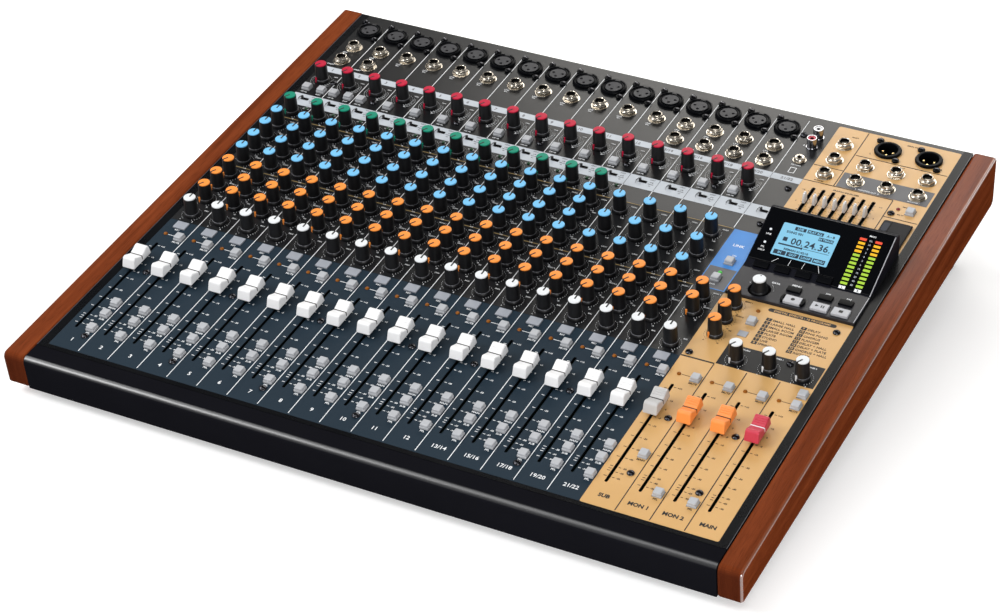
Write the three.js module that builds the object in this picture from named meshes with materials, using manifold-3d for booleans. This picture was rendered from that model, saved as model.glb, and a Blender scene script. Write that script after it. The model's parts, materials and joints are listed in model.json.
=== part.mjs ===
// A 24-track mixing desk with wooden cheeks, built as a three.js scene graph in millimetres, +Z up.
// The desk's own origin is the middle of its outline at table level, +X to the user's right and +Y away.
// On the deck, u runs right from the left edge of the printed strips, v runs back from their front
// edge and z stands square to the deck, with z = 0 on the top face of the steel panel.
import * as THREE from 'three';
import { mergeVertices } from 'three/addons/utils/BufferGeometryUtils.js';
import Module from 'manifold-3d';

const wasm = await Module();
wasm.setup();

// Strips
const strip_pitch = 25;
const mono_strips = 12;
const stereo_strips = 4;
const return_strips = 1;
const master_strips = 4;
const monitor_strips = 2;
const two_jack_mono_strips = 2;
const input_strips = mono_strips + stereo_strips + return_strips;
const strip_count = input_strips + master_strips;
const print_width = strip_count * strip_pitch;
const returns_left = (mono_strips + stereo_strips) * strip_pitch;
const masters_left = input_strips * strip_pitch;

// Fits that every piece shares
const seat_gap = 0.3;
const running_gap = 0.4;
const cut_overrun = 1;

// Steel top panel
const panel_thickness = 2;
const side_border = 7.5;
const rear_border = 4.5;
const front_border = 4;

// How the deck stands
const deck_slope_share = 0.12;
const deck_tilt = Math.atan(deck_slope_share);
const foot_height = 8;
const foot_radius = 14;
const foot_sides = 16;
const foot_side_inset = 15.5;
const foot_rear_inset = 15.5;
const foot_front_inset = 34;

// Front rail, a bent section with a rounded top edge
const rail_front = 22.5;
const rail_height = 28;
const rail_wall = 2;
const rail_edge_radius = 5;
const rail_lean = 1.5;
const corner_steps = 4;

// Wooden cheeks
const cheek_thickness = 18;
const cheek_rear_height = 43.5;
const cheek_rear_overhang = 3;
const cheek_top_radius = 3;
const cheek_rear_chamfer = 6;
const cheek_edge = 2;

// Steel chassis tray
const chassis_wall = 1.5;
const tray_rear_setback = 1;

// Circuit boards and the spacers that hang them under the panel
const board_thickness = 1.6;
const board_drop = 14;
const board_edge = 4;
const spacer_radius = 2.5;
const spacer_sides = 6;
const board_top = -board_drop;
const board_bottom = board_top - board_thickness;
const spacer_top = -panel_thickness - seat_gap;
const shaft_root = board_top - board_thickness / 2;
const shaft_tip = board_top + seat_gap;

// Faders
const fader_slot_offset = 7.5;
const fader_slot_width = 2.2;
const fader_slot_front = 24.3;
const fader_slot_length = 111.4;
const fader_slot_rear = fader_slot_front + fader_slot_length;
const fader_rest_setback = 28.2;
const fader_rest = fader_slot_rear - fader_rest_setback;
const fader_cap_width = 11;
const fader_cap_length = 24;
const fader_cap_height = 12;
const fader_cap_waist = 8.8;
const fader_cap_lift = 3.5;
const fader_cap_crown = 2.6;
const fader_cap_rake = 2.2;
const fader_taper_share = 0.04;
const fader_stem_width = 1.2;
const fader_stem_length = 8;

// Push buttons: the latching ones on each strip, the flat record-arm keys and the low-cut buttons.
// A step is the way back from the row before.
const button_offset = 20;
const button_width = 6.9;
const button_length = 7.3;
const button_height = 3.7;
const listen_step = 2.7;
const sub_step = 18;
const main_step = 14.1;
const mute_step = 11;
const arm_step = 14.6;
const listen_row = fader_slot_front + listen_step;
const sub_row = listen_row + sub_step;
const main_row = sub_row + main_step;
const mute_row = fader_slot_rear + mute_step;
const arm_row = mute_row + arm_step;
const arm_width = 10.2;
const arm_length = 8.4;
const arm_height = 1;
const low_cut_offset = 6.2;
const low_cut_width = 7.4;
const low_cut_length = 6.8;
const insert_button_offset = 19.6;

// Rotary controls
const knob_height = 17;
const knob_top_radius = 4.8;
const knob_base_radius = 5.8;
const knob_shaft_radius = 3;
const moving_knob_sides = 12;
const moving_shaft_sides = 8;
const joined_knob_sides = 6;
const joined_shaft_sides = 4;
const control_pitch = 18;
const send_rows = 3;
const mono_eq_rows = 4;
const stereo_eq_rows = 3;
const return_send_rows = [1, 2];
const pan_step = 15.7;
const send_step = 21;
const eq_step = 20.5;
const comp_step = 21;
const low_cut_step = 35.9;
const trim_step = 13.9;
const pan_row = arm_row + pan_step;
const send_row = pan_row + send_step;
const last_send_row = send_row + (send_rows - 1) * control_pitch;
const eq_row = last_send_row + eq_step;
const last_eq_row = eq_row + (mono_eq_rows - 1) * control_pitch;
const comp_row = last_eq_row + comp_step;
const low_cut_row = comp_row + low_cut_step;
const trim_row = low_cut_row + trim_step;

// Display pod
const pod_step = 11.5;
const pod_shelf_length = 32;
const pod_slope_length = 55.5;
const pod_back_length = 5;
const pod_front = last_send_row + pod_step;
const pod_break = pod_front + pod_shelf_length;
const pod_crest = pod_break + pod_slope_length;
const pod_rear = pod_crest + pod_back_length;
const pod_inset = 0.4;
const pod_low_height = 2.6;
const pod_high_height = 21;
const pod_wall = 1.6;
const pod_shelf = 1.4;
const pod_crest_drop = 2;
const glass_thickness = 1;
const glass_margin = 1;
const function_strip_width = 68.5;
const function_strip_depth = 9;
const bay_margin = 6;

// Seven-band graphic equaliser
const eq_bands = 7;
const band_pitch_share = 0.322;
const first_band_share = 0.46;
const eq_band_pitch = band_pitch_share * strip_pitch;
const eq_first_band = masters_left + first_band_share * strip_pitch;
const eq_slot_width = 2;
const eq_slot_step = 14.5;
const eq_slot_length = 40;
const eq_slot_front = pod_rear + eq_slot_step;
const eq_slot_rear = eq_slot_front + eq_slot_length;
const eq_cap_width = 3.2;
const eq_cap_length = 6.4;
const eq_cap_height = 9.5;
const eq_cap_lift = 1;
const eq_cap_top_share = 0.55;
const eq_stem_width = 1;
const eq_stem_length = 5;

// Sockets, whose rows begin behind the last control
const front_jack_step = 19;
const rear_jack_step = 21.2;
const xlr_step = 26.9;
const rear_margin = 18.4;
const controls_rear = Math.max(trim_row + knob_base_radius, eq_slot_rear);
const front_jack_row = controls_rear + front_jack_step;
const rear_jack_row = front_jack_row + rear_jack_step;
const xlr_row = rear_jack_row + xlr_step;
const print_depth = xlr_row + rear_margin;
const xlr_flange_radius = 10.5;
const xlr_flange_height = 2;
const xlr_flange_sides = 12;
const xlr_body_width = 13;
const plug_shares = [1.84, 3.172];
const line_plug_across = plug_shares.map((share) => masters_left + share * strip_pitch);
const cup_radius = 7.6;
const cup_depth = 11;
const cup_sides = 8;
const cup_wall = 1;
const pin_radius = 1.2;
const pin_circle = 4.2;
const pin_length = 5;
const pin_sides = 4;
const pin_count = 3;
const high_jack_lead = 5.6;
const high_jack_row = xlr_row - high_jack_lead;
const jack_nut_radius = 7;
const jack_height = 5.2;
const jack_sides = 6;
const jack_bore_radius = 3.6;
const jack_bore_depth = 3.6;
const jack_bore_sides = 4;
const phono_lead = 3;
const phono_step = 13.9;
const phono_offset = 14.8;
const white_phono_row = xlr_row - phono_lead;
const red_phono_row = white_phono_row - phono_step;
const phono_rows = [white_phono_row, red_phono_row];
const phono_across = returns_left + phono_offset;
const phono_radius = 4.2;
const phono_height = 9.4;
const phono_sides = 8;
const mini_jack_lead = 9.7;
const mini_jack_across = returns_left + strip_pitch / 2;
const mini_jack_row = rear_jack_row - mini_jack_lead;
const mini_jack_radius = 4;
const mini_jack_height = 3.5;

// Jog dial
const dial_share = 0.904;
const dial_step = 10.8;
const dial_across = masters_left + dial_share * strip_pitch;
const dial_row = pod_front + dial_step;
const dial_top = 12.8;
const dial_top_radius = 4.8;
const dial_base_radius = 6.5;
const dial_shaft_radius = 3;
const dial_well_radius = 8.5;
const dial_foot = 0.8;
const dial_sides = 16;

// Transport keys
const key_names = ['record_key', 'play_key', 'stop_key'];
const key_shares = [2, 2.828, 3.472];
const key_step = 7.1;
const key_across = key_shares.map((share) => masters_left + share * strip_pitch);
const key_row = pod_front + key_step;
const key_width = 12.8;
const key_length = 8.2;
const key_top = 4.4;
const key_travel = 1.2;
const key_skirt = 3.4;
const key_stem_width = 3;

// Card slot cover, a flap on a pin along its right edge
const cover_left_share = 3.02;
const cover_width = 22.5;
const cover_step = 3;
const cover_length = 31.5;
const cover_left = masters_left + cover_left_share * strip_pitch;
const cover_right = cover_left + cover_width;
const cover_front = pod_rear + cover_step;
const cover_rear = cover_front + cover_length;
const cover_thickness = 2;
const cover_round_steps = 6;
const card_slot_width = 3;
const card_slot_length = 25;

// The few buttons that stand by themselves: one at the main fader, and those of the wireless link,
// the effects and the graphic equaliser
const main_button_step = 12.5;
const link_button_offset = 14;
const link_button_step = 26.5;
const pairing_button_offset = 12.4;
const pairing_button_step = 4.5;
const effect_button_offset = 31.1;
const effect_button_step = 23.4;
const eq_button_offset = 14.1;
const eq_button_step = 17.3;
const extra_fader_buttons = [[(strip_count - 1) * strip_pitch + button_offset, mute_row + main_button_step]];
const extra_control_buttons = [
  [returns_left + link_button_offset, eq_row + link_button_step],
  [returns_left + pairing_button_offset, eq_row + pairing_button_step],
  [masters_left + effect_button_offset, send_row + effect_button_step],
  [cover_left + eq_button_offset, cover_rear + eq_button_step],
];

// Power supply with the mains inlet, and the power switch, in the rear wall
const supply_width = 90;
const supply_depth = 60;
const supply_height = 48;
const inlet_across = 60;
const inlet_width = 27;
const inlet_height = 19.5;
const inlet_wall = 2;
const inlet_depth = 16;
const inlet_pin_length = 8;
const inlet_pin_width = 2;
const inlet_pin_height = 4;
const inlet_pin_pitch = 7;
const inlet_level = 45;
const inlet_rim = 1.2;
const rocker_offset = 17;
const rocker_width = 12;
const rocker_height = 18;
const rocker_depth = 8;
const rocker_throw = 7 * THREE.MathUtils.DEG2RAD;

// Panel outline on the deck
const panel_left = -side_border + seat_gap;
const panel_right = print_width + side_border - seat_gap;
const panel_front = -front_border;
const panel_rear = print_depth + rear_border;
const panel_middle = print_width / 2;

// Where the deck's origin stands in the world: the rail's lower edge is level with the tray's floor
const rise_of_deck = Math.sin(deck_tilt);
const run_of_deck = Math.cos(deck_tilt);
const deck_lift = foot_height + (rail_front - rail_lean) * rise_of_deck + rail_height * run_of_deck;

function worldY(v, z) {
  return v * run_of_deck - z * rise_of_deck;
}

// Solids from three.js geometry, joined and cut with manifold-3d
function toSolid(geometry) {
  const bare = geometry.clone();
  bare.deleteAttribute('normal');
  bare.deleteAttribute('uv');
  const merged = mergeVertices(bare);
  return new wasm.Manifold(new wasm.Mesh({
    numProp: 3,
    vertProperties: new Float32Array(merged.attributes.position.array),
    triVerts: new Uint32Array(merged.index.array),
  }));
}

function join(solids) {
  return wasm.Manifold.union(solids);
}

function toGeometry(solid) {
  const mesh = solid.getMesh();
  const geometry = new THREE.BufferGeometry();
  const positions = new Float32Array(mesh.vertProperties);
  geometry.setAttribute('position', new THREE.BufferAttribute(positions, mesh.numProp));
  geometry.setIndex(new THREE.BufferAttribute(new Uint32Array(mesh.triVerts), 1));
  geometry.computeVertexNormals();
  return geometry;
}

// A block between two opposite corners
function block(low, high) {
  const size = low.map((value, axis) => high[axis] - value);
  const middle = low.map((value, axis) => (value + high[axis]) / 2);
  return toSolid(new THREE.BoxGeometry(...size).translate(...middle));
}

// An upright post with flat sides, its radius measured to the corners, one flat facing the front
function post(sides, low_radius, high_radius, low, high, at) {
  const geometry = new THREE.CylinderGeometry(high_radius, low_radius, high - low, sides);
  geometry.rotateY(Math.PI / sides);
  geometry.rotateX(Math.PI / 2);
  geometry.translate(at[0], at[1], (low + high) / 2);
  return toSolid(geometry);
}

// The corner radius of a hole whose flats clear a turning or sliding piece
function holeRadius(radius, gap, sides) {
  return (radius + gap) / Math.cos(Math.PI / sides);
}

// An outline with rounded corners, each corner given as [across, up, radius]
function roundedOutline(corners) {
  const points = [];
  corners.forEach(([x, y, radius], index) => {
    const corner = new THREE.Vector2(x, y);
    if (radius === 0) {
      points.push(corner);
      return;
    }
    const before = new THREE.Vector2(...corners[(index + corners.length - 1) % corners.length]).sub(corner);
    const after = new THREE.Vector2(...corners[(index + 1) % corners.length]).sub(corner);
    const half_angle = Math.acos(before.dot(after) / before.length() / after.length()) / 2;
    before.normalize();
    after.normalize();
    const middle_way = before.clone().add(after).normalize();
    const centre = corner.clone().addScaledVector(middle_way, radius / Math.sin(half_angle));
    const start = corner.clone().addScaledVector(before, radius / Math.tan(half_angle)).sub(centre);
    const end = corner.clone().addScaledVector(after, radius / Math.tan(half_angle)).sub(centre);
    const turn = Math.atan2(start.cross(end), start.dot(end));
    for (let step = 0; step <= corner_steps; step += 1) {
      const spoke = start.clone().rotateAround(new THREE.Vector2(), turn * step / corner_steps);
      points.push(centre.clone().add(spoke));
    }
  });
  return points;
}

// A side view, given as points of (back, up), drawn out to the right between two places
function sideExtrusion(points, left, right, bevel = 0) {
  const geometry = new THREE.ExtrudeGeometry(new THREE.Shape(points), {
    depth: right - left - 2 * bevel,
    bevelEnabled: bevel > 0,
    bevelThickness: bevel,
    bevelSize: bevel,
    bevelOffset: -bevel,
    bevelSegments: 2,
    steps: 1,
  });
  geometry.translate(0, 0, left + bevel);
  geometry.applyMatrix4(new THREE.Matrix4().makeBasis(
    new THREE.Vector3(0, 1, 0),
    new THREE.Vector3(0, 0, 1),
    new THREE.Vector3(1, 0, 0),
  ));
  return geometry;
}

function sidePoints(pairs) {
  return pairs.map(([back, up]) => new THREE.Vector2(back, up));
}

// Places on the deck
function stripCentre(strip) {
  return strip * strip_pitch + strip_pitch / 2;
}

function faderAcross(strip) {
  return strip * strip_pitch + fader_slot_offset;
}

function bandAcross(band) {
  return eq_first_band + band * eq_band_pitch;
}

function sendRow(index) {
  return send_row + index * control_pitch;
}

function eqRow(index, rows) {
  return eq_row + (last_eq_row - eq_row) * index / (rows - 1);
}

function countFrom(first, count) {
  return Array.from({ length: count }, (_, index) => first + index);
}

function monoKnobPlaces(strip) {
  const across = stripCentre(strip);
  const rows = [
    trim_row,
    comp_row,
    ...countFrom(0, mono_eq_rows).map((index) => eqRow(index, mono_eq_rows)).reverse(),
    ...countFrom(0, send_rows).map(sendRow).reverse(),
    pan_row,
  ];
  return rows.map((row) => [across, row]);
}

function stereoKnobPlaces(strip) {
  const across = stripCentre(strip);
  const rows = [
    trim_row,
    ...countFrom(0, stereo_eq_rows).map((index) => eqRow(index, stereo_eq_rows)),
    ...countFrom(0, send_rows).map(sendRow),
    pan_row,
  ];
  return rows.map((row) => [across, row]);
}

function returnKnobPlaces(strip) {
  const across = stripCentre(strip);
  return [...return_send_rows.map(sendRow), pan_row].map((row) => [across, row]);
}

function masterKnobPlaces() {
  const first = input_strips;
  const sends = countFrom(0, send_rows).map((index) => [stripCentre(first), sendRow(index)]);
  const levels = countFrom(first + 1, master_strips - 1).map((strip) => [stripCentre(strip), pan_row]);
  return [...sends, ...levels];
}

const turning_knobs = monoKnobPlaces(0);
const joined_mono_knobs = countFrom(1, mono_strips - 1).flatMap(monoKnobPlaces);
const joined_master_knobs = [
  ...countFrom(mono_strips, stereo_strips).flatMap(stereoKnobPlaces),
  ...returnKnobPlaces(mono_strips + stereo_strips),
  ...masterKnobPlaces(),
];

function microphoneSockets() {
  return countFrom(0, mono_strips + stereo_strips).map((strip) => [stripCentre(strip), xlr_row]);
}

function rowOfJacks(first, count, row) {
  return countFrom(first, count).map((strip) => [stripCentre(strip), row]);
}

function lineJacks() {
  return [
    ...rowOfJacks(0, mono_strips + stereo_strips, rear_jack_row),
    ...rowOfJacks(0, two_jack_mono_strips, front_jack_row),
    ...rowOfJacks(mono_strips, stereo_strips, front_jack_row),
    ...rowOfJacks(input_strips, master_strips, rear_jack_row),
    ...rowOfJacks(input_strips, master_strips, front_jack_row),
    ...rowOfJacks(input_strips, 1, high_jack_row),
  ];
}

// Push buttons, each place given with the width, length and height of its cap
function latching([u, v]) {
  return [u, v, button_width, button_length, button_height];
}

function buttonAcross(strip) {
  return strip * strip_pitch + button_offset;
}

function faderButtons() {
  const inputs = countFrom(0, input_strips).flatMap((strip) => [
    [buttonAcross(strip), mute_row],
    [buttonAcross(strip), main_row],
    [buttonAcross(strip), sub_row],
    [buttonAcross(strip), listen_row],
  ]);
  const arms = countFrom(0, input_strips).map(
    (strip) => [stripCentre(strip), arm_row, arm_width, arm_length, arm_height],
  );
  const master_mutes = countFrom(input_strips, master_strips).map(
    (strip) => [buttonAcross(strip), mute_row],
  );
  const sub_button = [buttonAcross(input_strips), main_row];
  const monitor_listens = countFrom(input_strips + 1, monitor_strips).map(
    (strip) => [buttonAcross(strip), listen_row],
  );
  const latches = [...inputs, ...master_mutes, sub_button, ...monitor_listens, ...extra_fader_buttons];
  return [...latches.map(latching), ...arms];
}

function lowCutButton(strip) {
  return [strip * strip_pitch + low_cut_offset, low_cut_row, low_cut_width, low_cut_length, button_height];
}

function insertButton(strip) {
  const across = strip * strip_pitch + insert_button_offset;
  return [across, low_cut_row, button_width, low_cut_length, button_height];
}

function monoControlButtons() {
  return [
    ...countFrom(0, mono_strips).map(lowCutButton),
    ...countFrom(0, two_jack_mono_strips).map(insertButton),
  ];
}

function masterControlButtons() {
  const low_cuts = countFrom(mono_strips, stereo_strips).map(lowCutButton);
  return [...low_cuts, ...extra_control_buttons.map(latching)];
}

function button([u, v, width, length, height]) {
  return block([u - width / 2, v - length / 2, shaft_root], [u + width / 2, v + length / 2, height]);
}

function buttonHole([u, v, width, length], low, high) {
  const half_width = width / 2 + running_gap;
  const half_length = length / 2 + running_gap;
  return block([u - half_width, v - half_length, low], [u + half_width, v + half_length, high]);
}

// Rotary controls: a tapered knob on a shaft that goes down through the panel
function knob(place, knob_sides, shaft_sides, shaft_end) {
  return join([
    post(knob_sides, knob_base_radius, knob_top_radius, seat_gap, knob_height, place),
    post(shaft_sides, knob_shaft_radius, knob_shaft_radius, shaft_end, seat_gap + cut_overrun, place),
  ]);
}

function joinedKnob(place) {
  return knob(place, joined_knob_sides, joined_shaft_sides, shaft_root);
}

// Steel panel with every hole that a control or socket comes up through
function topPanel() {
  const low = -panel_thickness - cut_overrun;
  const high = cut_overrun;
  const plate = block([panel_left, panel_front, -panel_thickness], [panel_right, panel_rear, 0]);
  const turning_radius = holeRadius(knob_shaft_radius, running_gap, moving_shaft_sides);
  const turning_holes = turning_knobs.map(
    (place) => post(moving_shaft_sides, turning_radius, turning_radius, low, high, place),
  );
  const joined_radius = knob_shaft_radius + running_gap / Math.cos(Math.PI / joined_shaft_sides);
  const joined_holes = [...joined_mono_knobs, ...joined_master_knobs].map(
    (place) => post(joined_shaft_sides, joined_radius, joined_radius, low, high, place),
  );
  const fader_half = fader_slot_width / 2;
  const fader_slots = countFrom(0, strip_count).map((strip) => block(
    [faderAcross(strip) - fader_half, fader_slot_front, low],
    [faderAcross(strip) + fader_half, fader_slot_rear, high],
  ));
  const eq_half = eq_slot_width / 2;
  const eq_slots = countFrom(0, eq_bands).map((band) => block(
    [bandAcross(band) - eq_half, eq_slot_front, low],
    [bandAcross(band) + eq_half, eq_slot_rear, high],
  ));
  const buttons = [...faderButtons(), ...monoControlButtons(), ...masterControlButtons()];
  const button_holes = buttons.map((place) => buttonHole(place, low, high));
  const xlr_half = xlr_body_width / 2 + running_gap;
  const cup_half = cup_radius + cup_wall + running_gap;
  const socket_holes = [
    ...microphoneSockets().map(([u, v]) => block(
      [u - xlr_half, v - xlr_half, low],
      [u + xlr_half, v + xlr_half, high],
    )),
    ...line_plug_across.map((u) => block(
      [u - cup_half, xlr_row - cup_half, low],
      [u + cup_half, xlr_row + cup_half, high],
    )),
  ];
  const jack_radius = jack_nut_radius + running_gap;
  const jack_holes = lineJacks().map(
    (place) => post(jack_sides, jack_radius, jack_radius, low, high, place),
  );
  const phono_hole = phono_radius + running_gap;
  const phono_holes = phono_rows.map(
    (v) => post(phono_sides, phono_hole, phono_hole, low, high, [phono_across, v]),
  );
  const mini_hole = mini_jack_radius + running_gap;
  const mini_place = [mini_jack_across, mini_jack_row];
  const mini_jack_hole = post(jack_sides, mini_hole, mini_hole, low, high, mini_place);
  const card_middle = (cover_left + cover_right) / 2;
  const card_centre = (cover_front + cover_rear) / 2;
  const card_slot = block(
    [card_middle - card_slot_width / 2, card_centre - card_slot_length / 2, low],
    [card_middle + card_slot_width / 2, card_centre + card_slot_length / 2, high],
  );
  return toGeometry(plate.subtract(join([
    ...turning_holes,
    ...joined_holes,
    ...fader_slots,
    ...eq_slots,
    ...button_holes,
    ...socket_holes,
    ...jack_holes,
    ...phono_holes,
    mini_jack_hole,
    card_slot,
    displayBay(low, high),
  ])));
}

// The opening in the panel under the display pod
function displayBay(low, high) {
  const left = masters_left + bay_margin;
  const right = print_width - bay_margin;
  return block([left, pod_front + pod_wall + seat_gap, low], [right, pod_crest - bay_margin, high]);
}

// A circuit board with its spacers, whose tops stop a seat gap under the panel
function board(left, right, front, rear) {
  const plate = block([left, front, board_bottom], [right, rear, board_top]);
  const inset = board_edge / 2 + spacer_radius;
  const corners = [
    [left + inset, front + inset],
    [right - inset, front + inset],
    [left + inset, rear - inset],
    [right - inset, rear - inset],
  ];
  const spacers = corners.map(
    (at) => post(spacer_sides, spacer_radius, spacer_radius, shaft_root, spacer_top, at),
  );
  return [plate, ...spacers];
}

const control_front = pan_row - knob_base_radius - board_edge;
const mono_right = mono_strips * strip_pitch;

function monoControlBoard() {
  const rear = trim_row + knob_base_radius + board_edge;
  const knobs = joined_mono_knobs.map(joinedKnob);
  const buttons = monoControlButtons().map(button);
  return toGeometry(join([...board(0, mono_right - seat_gap, control_front, rear), ...knobs, ...buttons]));
}

function masterControlBoard() {
  const rear = eq_slot_rear + board_edge;
  const knobs = joined_master_knobs.map(joinedKnob);
  const buttons = masterControlButtons().map(button);
  const plate = board(mono_right + seat_gap, print_width, control_front, rear);
  return toGeometry(join([...plate, ...knobs, ...buttons]));
}

function faderBoard() {
  const front = fader_slot_front - board_edge;
  const rear = control_front - 2 * seat_gap;
  return toGeometry(join([...board(0, print_width, front, rear), ...faderButtons().map(button)]));
}

// One microphone socket: a round flange on the panel over a square body down to the board
function microphoneSocket([u, v]) {
  const half = xlr_body_width / 2;
  return join([
    post(xlr_flange_sides, xlr_flange_radius, xlr_flange_radius, seat_gap, xlr_flange_height, [u, v]),
    block([u - half, v - half, shaft_root], [u + half, v + half, seat_gap + cut_overrun]),
  ]);
}

// One three-pin output plug: a cup with a flange and three pins standing in it
function linePlug(u) {
  const place = [u, xlr_row];
  const outer = cup_radius + cup_wall;
  const cup_floor = xlr_flange_height - cup_depth;
  const shell = join([
    post(xlr_flange_sides, xlr_flange_radius, xlr_flange_radius, seat_gap, xlr_flange_height, place),
    post(cup_sides, outer, outer, shaft_root, seat_gap + cut_overrun, place),
  ]);
  const bore = post(cup_sides, cup_radius, cup_radius, cup_floor, xlr_flange_height + cut_overrun, place);
  const pins = countFrom(0, pin_count).map((index) => {
    const angle = Math.PI * (index - 1) / 2 - Math.PI / 2;
    const at = [u + pin_circle * Math.cos(angle), xlr_row + pin_circle * Math.sin(angle)];
    return post(pin_sides, pin_radius, pin_radius, cup_floor - cup_wall, cup_floor + pin_length, at);
  });
  return join([shell.subtract(bore), ...pins]);
}

// One line jack: a hexagon sleeve with the mouth of its bore
function lineJack(place) {
  const sleeve = post(jack_sides, jack_nut_radius, jack_nut_radius, shaft_root, jack_height, place);
  const floor = jack_height - jack_bore_depth;
  return sleeve.subtract(
    post(jack_bore_sides, jack_bore_radius, jack_bore_radius, floor, jack_height + cut_overrun, place),
  );
}

function connectorBoard() {
  const front = front_jack_row - jack_nut_radius - board_edge;
  const phonos = phono_rows.map(
    (v) => post(phono_sides, phono_radius, phono_radius, shaft_root, phono_height, [phono_across, v]),
  );
  const mini_place = [mini_jack_across, mini_jack_row];
  const mini_jack = post(
    jack_sides, mini_jack_radius, mini_jack_radius, shaft_root, mini_jack_height, mini_place,
  );
  return toGeometry(join([
    ...board(0, print_width, front, print_depth - seat_gap),
    ...microphoneSockets().map(microphoneSocket),
    ...line_plug_across.map(linePlug),
    ...lineJacks().map(lineJack),
    ...phonos,
    mini_jack,
  ]));
}

// A turning knob, built around its own axis
function turningKnob() {
  return toGeometry(knob([0, 0], moving_knob_sides, moving_shaft_sides, shaft_tip));
}

// A fader: a waisted cap, narrower at the top, on a stem that goes down through its slot
function fader() {
  const half = fader_cap_length / 2;
  const outline = sidePoints([
    [-half, fader_cap_lift],
    [half, fader_cap_lift],
    [half - fader_cap_rake, fader_cap_height],
    [half - fader_cap_rake - fader_cap_crown, fader_cap_height],
    [fader_cap_rake, fader_cap_waist],
    [-fader_cap_rake, fader_cap_waist],
    [fader_cap_rake + fader_cap_crown - half, fader_cap_height],
    [fader_cap_rake - half, fader_cap_height],
  ]);
  const cap = sideExtrusion(outline, -fader_cap_width / 2, fader_cap_width / 2);
  const places = cap.attributes.position;
  const rise = fader_cap_height - fader_cap_lift;
  for (let index = 0; index < places.count; index += 1) {
    const climb_share = (places.getZ(index) - fader_cap_lift) / rise;
    places.setX(index, places.getX(index) * (1 - fader_taper_share * climb_share));
  }
  const stem = block(
    [-fader_stem_width / 2, -fader_stem_length / 2, shaft_tip],
    [fader_stem_width / 2, fader_stem_length / 2, fader_cap_lift + cut_overrun],
  );
  return toGeometry(join([toSolid(cap), stem]));
}

// An equaliser slider: a slim wedge-shaped cap on a stem
function eqSlider() {
  const half = eq_cap_length / 2;
  const outline = sidePoints([
    [-half, eq_cap_lift],
    [half, eq_cap_lift],
    [half * eq_cap_top_share, eq_cap_height],
    [-half * eq_cap_top_share, eq_cap_height],
  ]);
  const cap = sideExtrusion(outline, -eq_cap_width / 2, eq_cap_width / 2);
  const stem = block(
    [-eq_stem_width / 2, -eq_stem_length / 2, shaft_tip],
    [eq_stem_width / 2, eq_stem_length / 2, eq_cap_lift + cut_overrun],
  );
  return toGeometry(join([toSolid(cap), stem]));
}

// Front rail
function frontRail() {
  const rear = panel_front - seat_gap;
  const inner_radius = rail_edge_radius - rail_wall;
  const bottom_front = rail_lean - rail_front;
  const outline = roundedOutline([
    [rear, 0, 0],
    [-rail_front, 0, rail_edge_radius],
    [bottom_front, -rail_height, 0],
    [bottom_front + rail_wall, -rail_height, 0],
    [rail_wall - rail_front, -rail_wall, inner_radius],
    [rear, -rail_wall, 0],
  ]);
  return sideExtrusion(outline, panel_left, panel_right);
}

// A cheek's side view: the rail's nose at the front, deeper towards the rear
function cheek() {
  const rear = panel_rear + cheek_rear_overhang;
  const outline = roundedOutline([
    [-rail_front, 0, rail_edge_radius],
    [rail_lean - rail_front, -rail_height, cheek_top_radius],
    [rear - rail_lean, -cheek_rear_height, cheek_rear_chamfer],
    [rear, 0, cheek_top_radius],
  ]);
  return sideExtrusion(outline, 0, cheek_thickness, cheek_edge);
}

// Display pod: a low shelf for the keys that rises to a sloping face, hollow and open below
const pod_left = masters_left + pod_inset;
const pod_right = print_width - pod_inset;
const pod_rise = (pod_high_height - pod_low_height) / (pod_crest - pod_break);
const pod_pitch = Math.atan(pod_rise);
const glass_seat_drop = (glass_thickness + seat_gap) / Math.cos(pod_pitch);
const glass_start = pod_break + (glass_thickness / Math.cos(pod_pitch) + seat_gap) / pod_rise;

function podSolid() {
  const ramp_foot = pod_break + glass_seat_drop / pod_rise;
  const crest_height = pod_high_height - glass_seat_drop;
  return toSolid(sideExtrusion(sidePoints([
    [pod_front, seat_gap],
    [pod_rear, seat_gap],
    [pod_rear, crest_height - pod_crest_drop],
    [pod_crest, crest_height],
    [ramp_foot, pod_low_height],
    [pod_front, pod_low_height],
  ]), pod_left, pod_right));
}

function podHollow() {
  const ramp_foot = pod_break + glass_seat_drop / pod_rise;
  const crest_height = pod_high_height - glass_seat_drop - pod_wall;
  const shelf_height = pod_low_height - pod_shelf;
  return toSolid(sideExtrusion(sidePoints([
    [pod_front + pod_wall, -cut_overrun],
    [pod_rear - pod_wall, -cut_overrun],
    [pod_rear - pod_wall, crest_height - pod_crest_drop],
    [pod_crest - pod_wall, crest_height],
    [ramp_foot + pod_wall, shelf_height],
    [pod_front + pod_wall, shelf_height],
  ]), pod_left + pod_wall, pod_right - pod_wall));
}

function displayPod() {
  const low = -cut_overrun;
  const high = pod_low_height + cut_overrun;
  const half_width = key_width / 2 + running_gap;
  const half_length = key_length / 2 + running_gap;
  const key_holes = key_across.map((u) => block(
    [u - half_width, key_row - half_length, low],
    [u + half_width, key_row + half_length, high],
  ));
  const dial_hole = post(dial_sides, dial_well_radius, dial_well_radius, low, high, [dial_across, dial_row]);
  return toGeometry(podSolid().subtract(join([podHollow(), ...key_holes, dial_hole])));
}

// Black glass on the pod's slope, notched at the lower left where the function keys are
function displayWindow() {
  const length = (pod_crest - glass_start) / Math.cos(pod_pitch) - glass_margin;
  const sheet = block(
    [pod_left + glass_margin, 0, -glass_thickness],
    [pod_right - glass_margin, length, 0],
  );
  const notch = block(
    [pod_left, -cut_overrun, -glass_thickness - cut_overrun],
    [masters_left + function_strip_width, function_strip_depth, cut_overrun],
  );
  const window = toGeometry(sheet.subtract(notch));
  window.rotateX(pod_pitch);
  const start_height = pod_low_height + (glass_start - pod_break) * pod_rise;
  return window.translate(0, glass_start, start_height);
}

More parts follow.
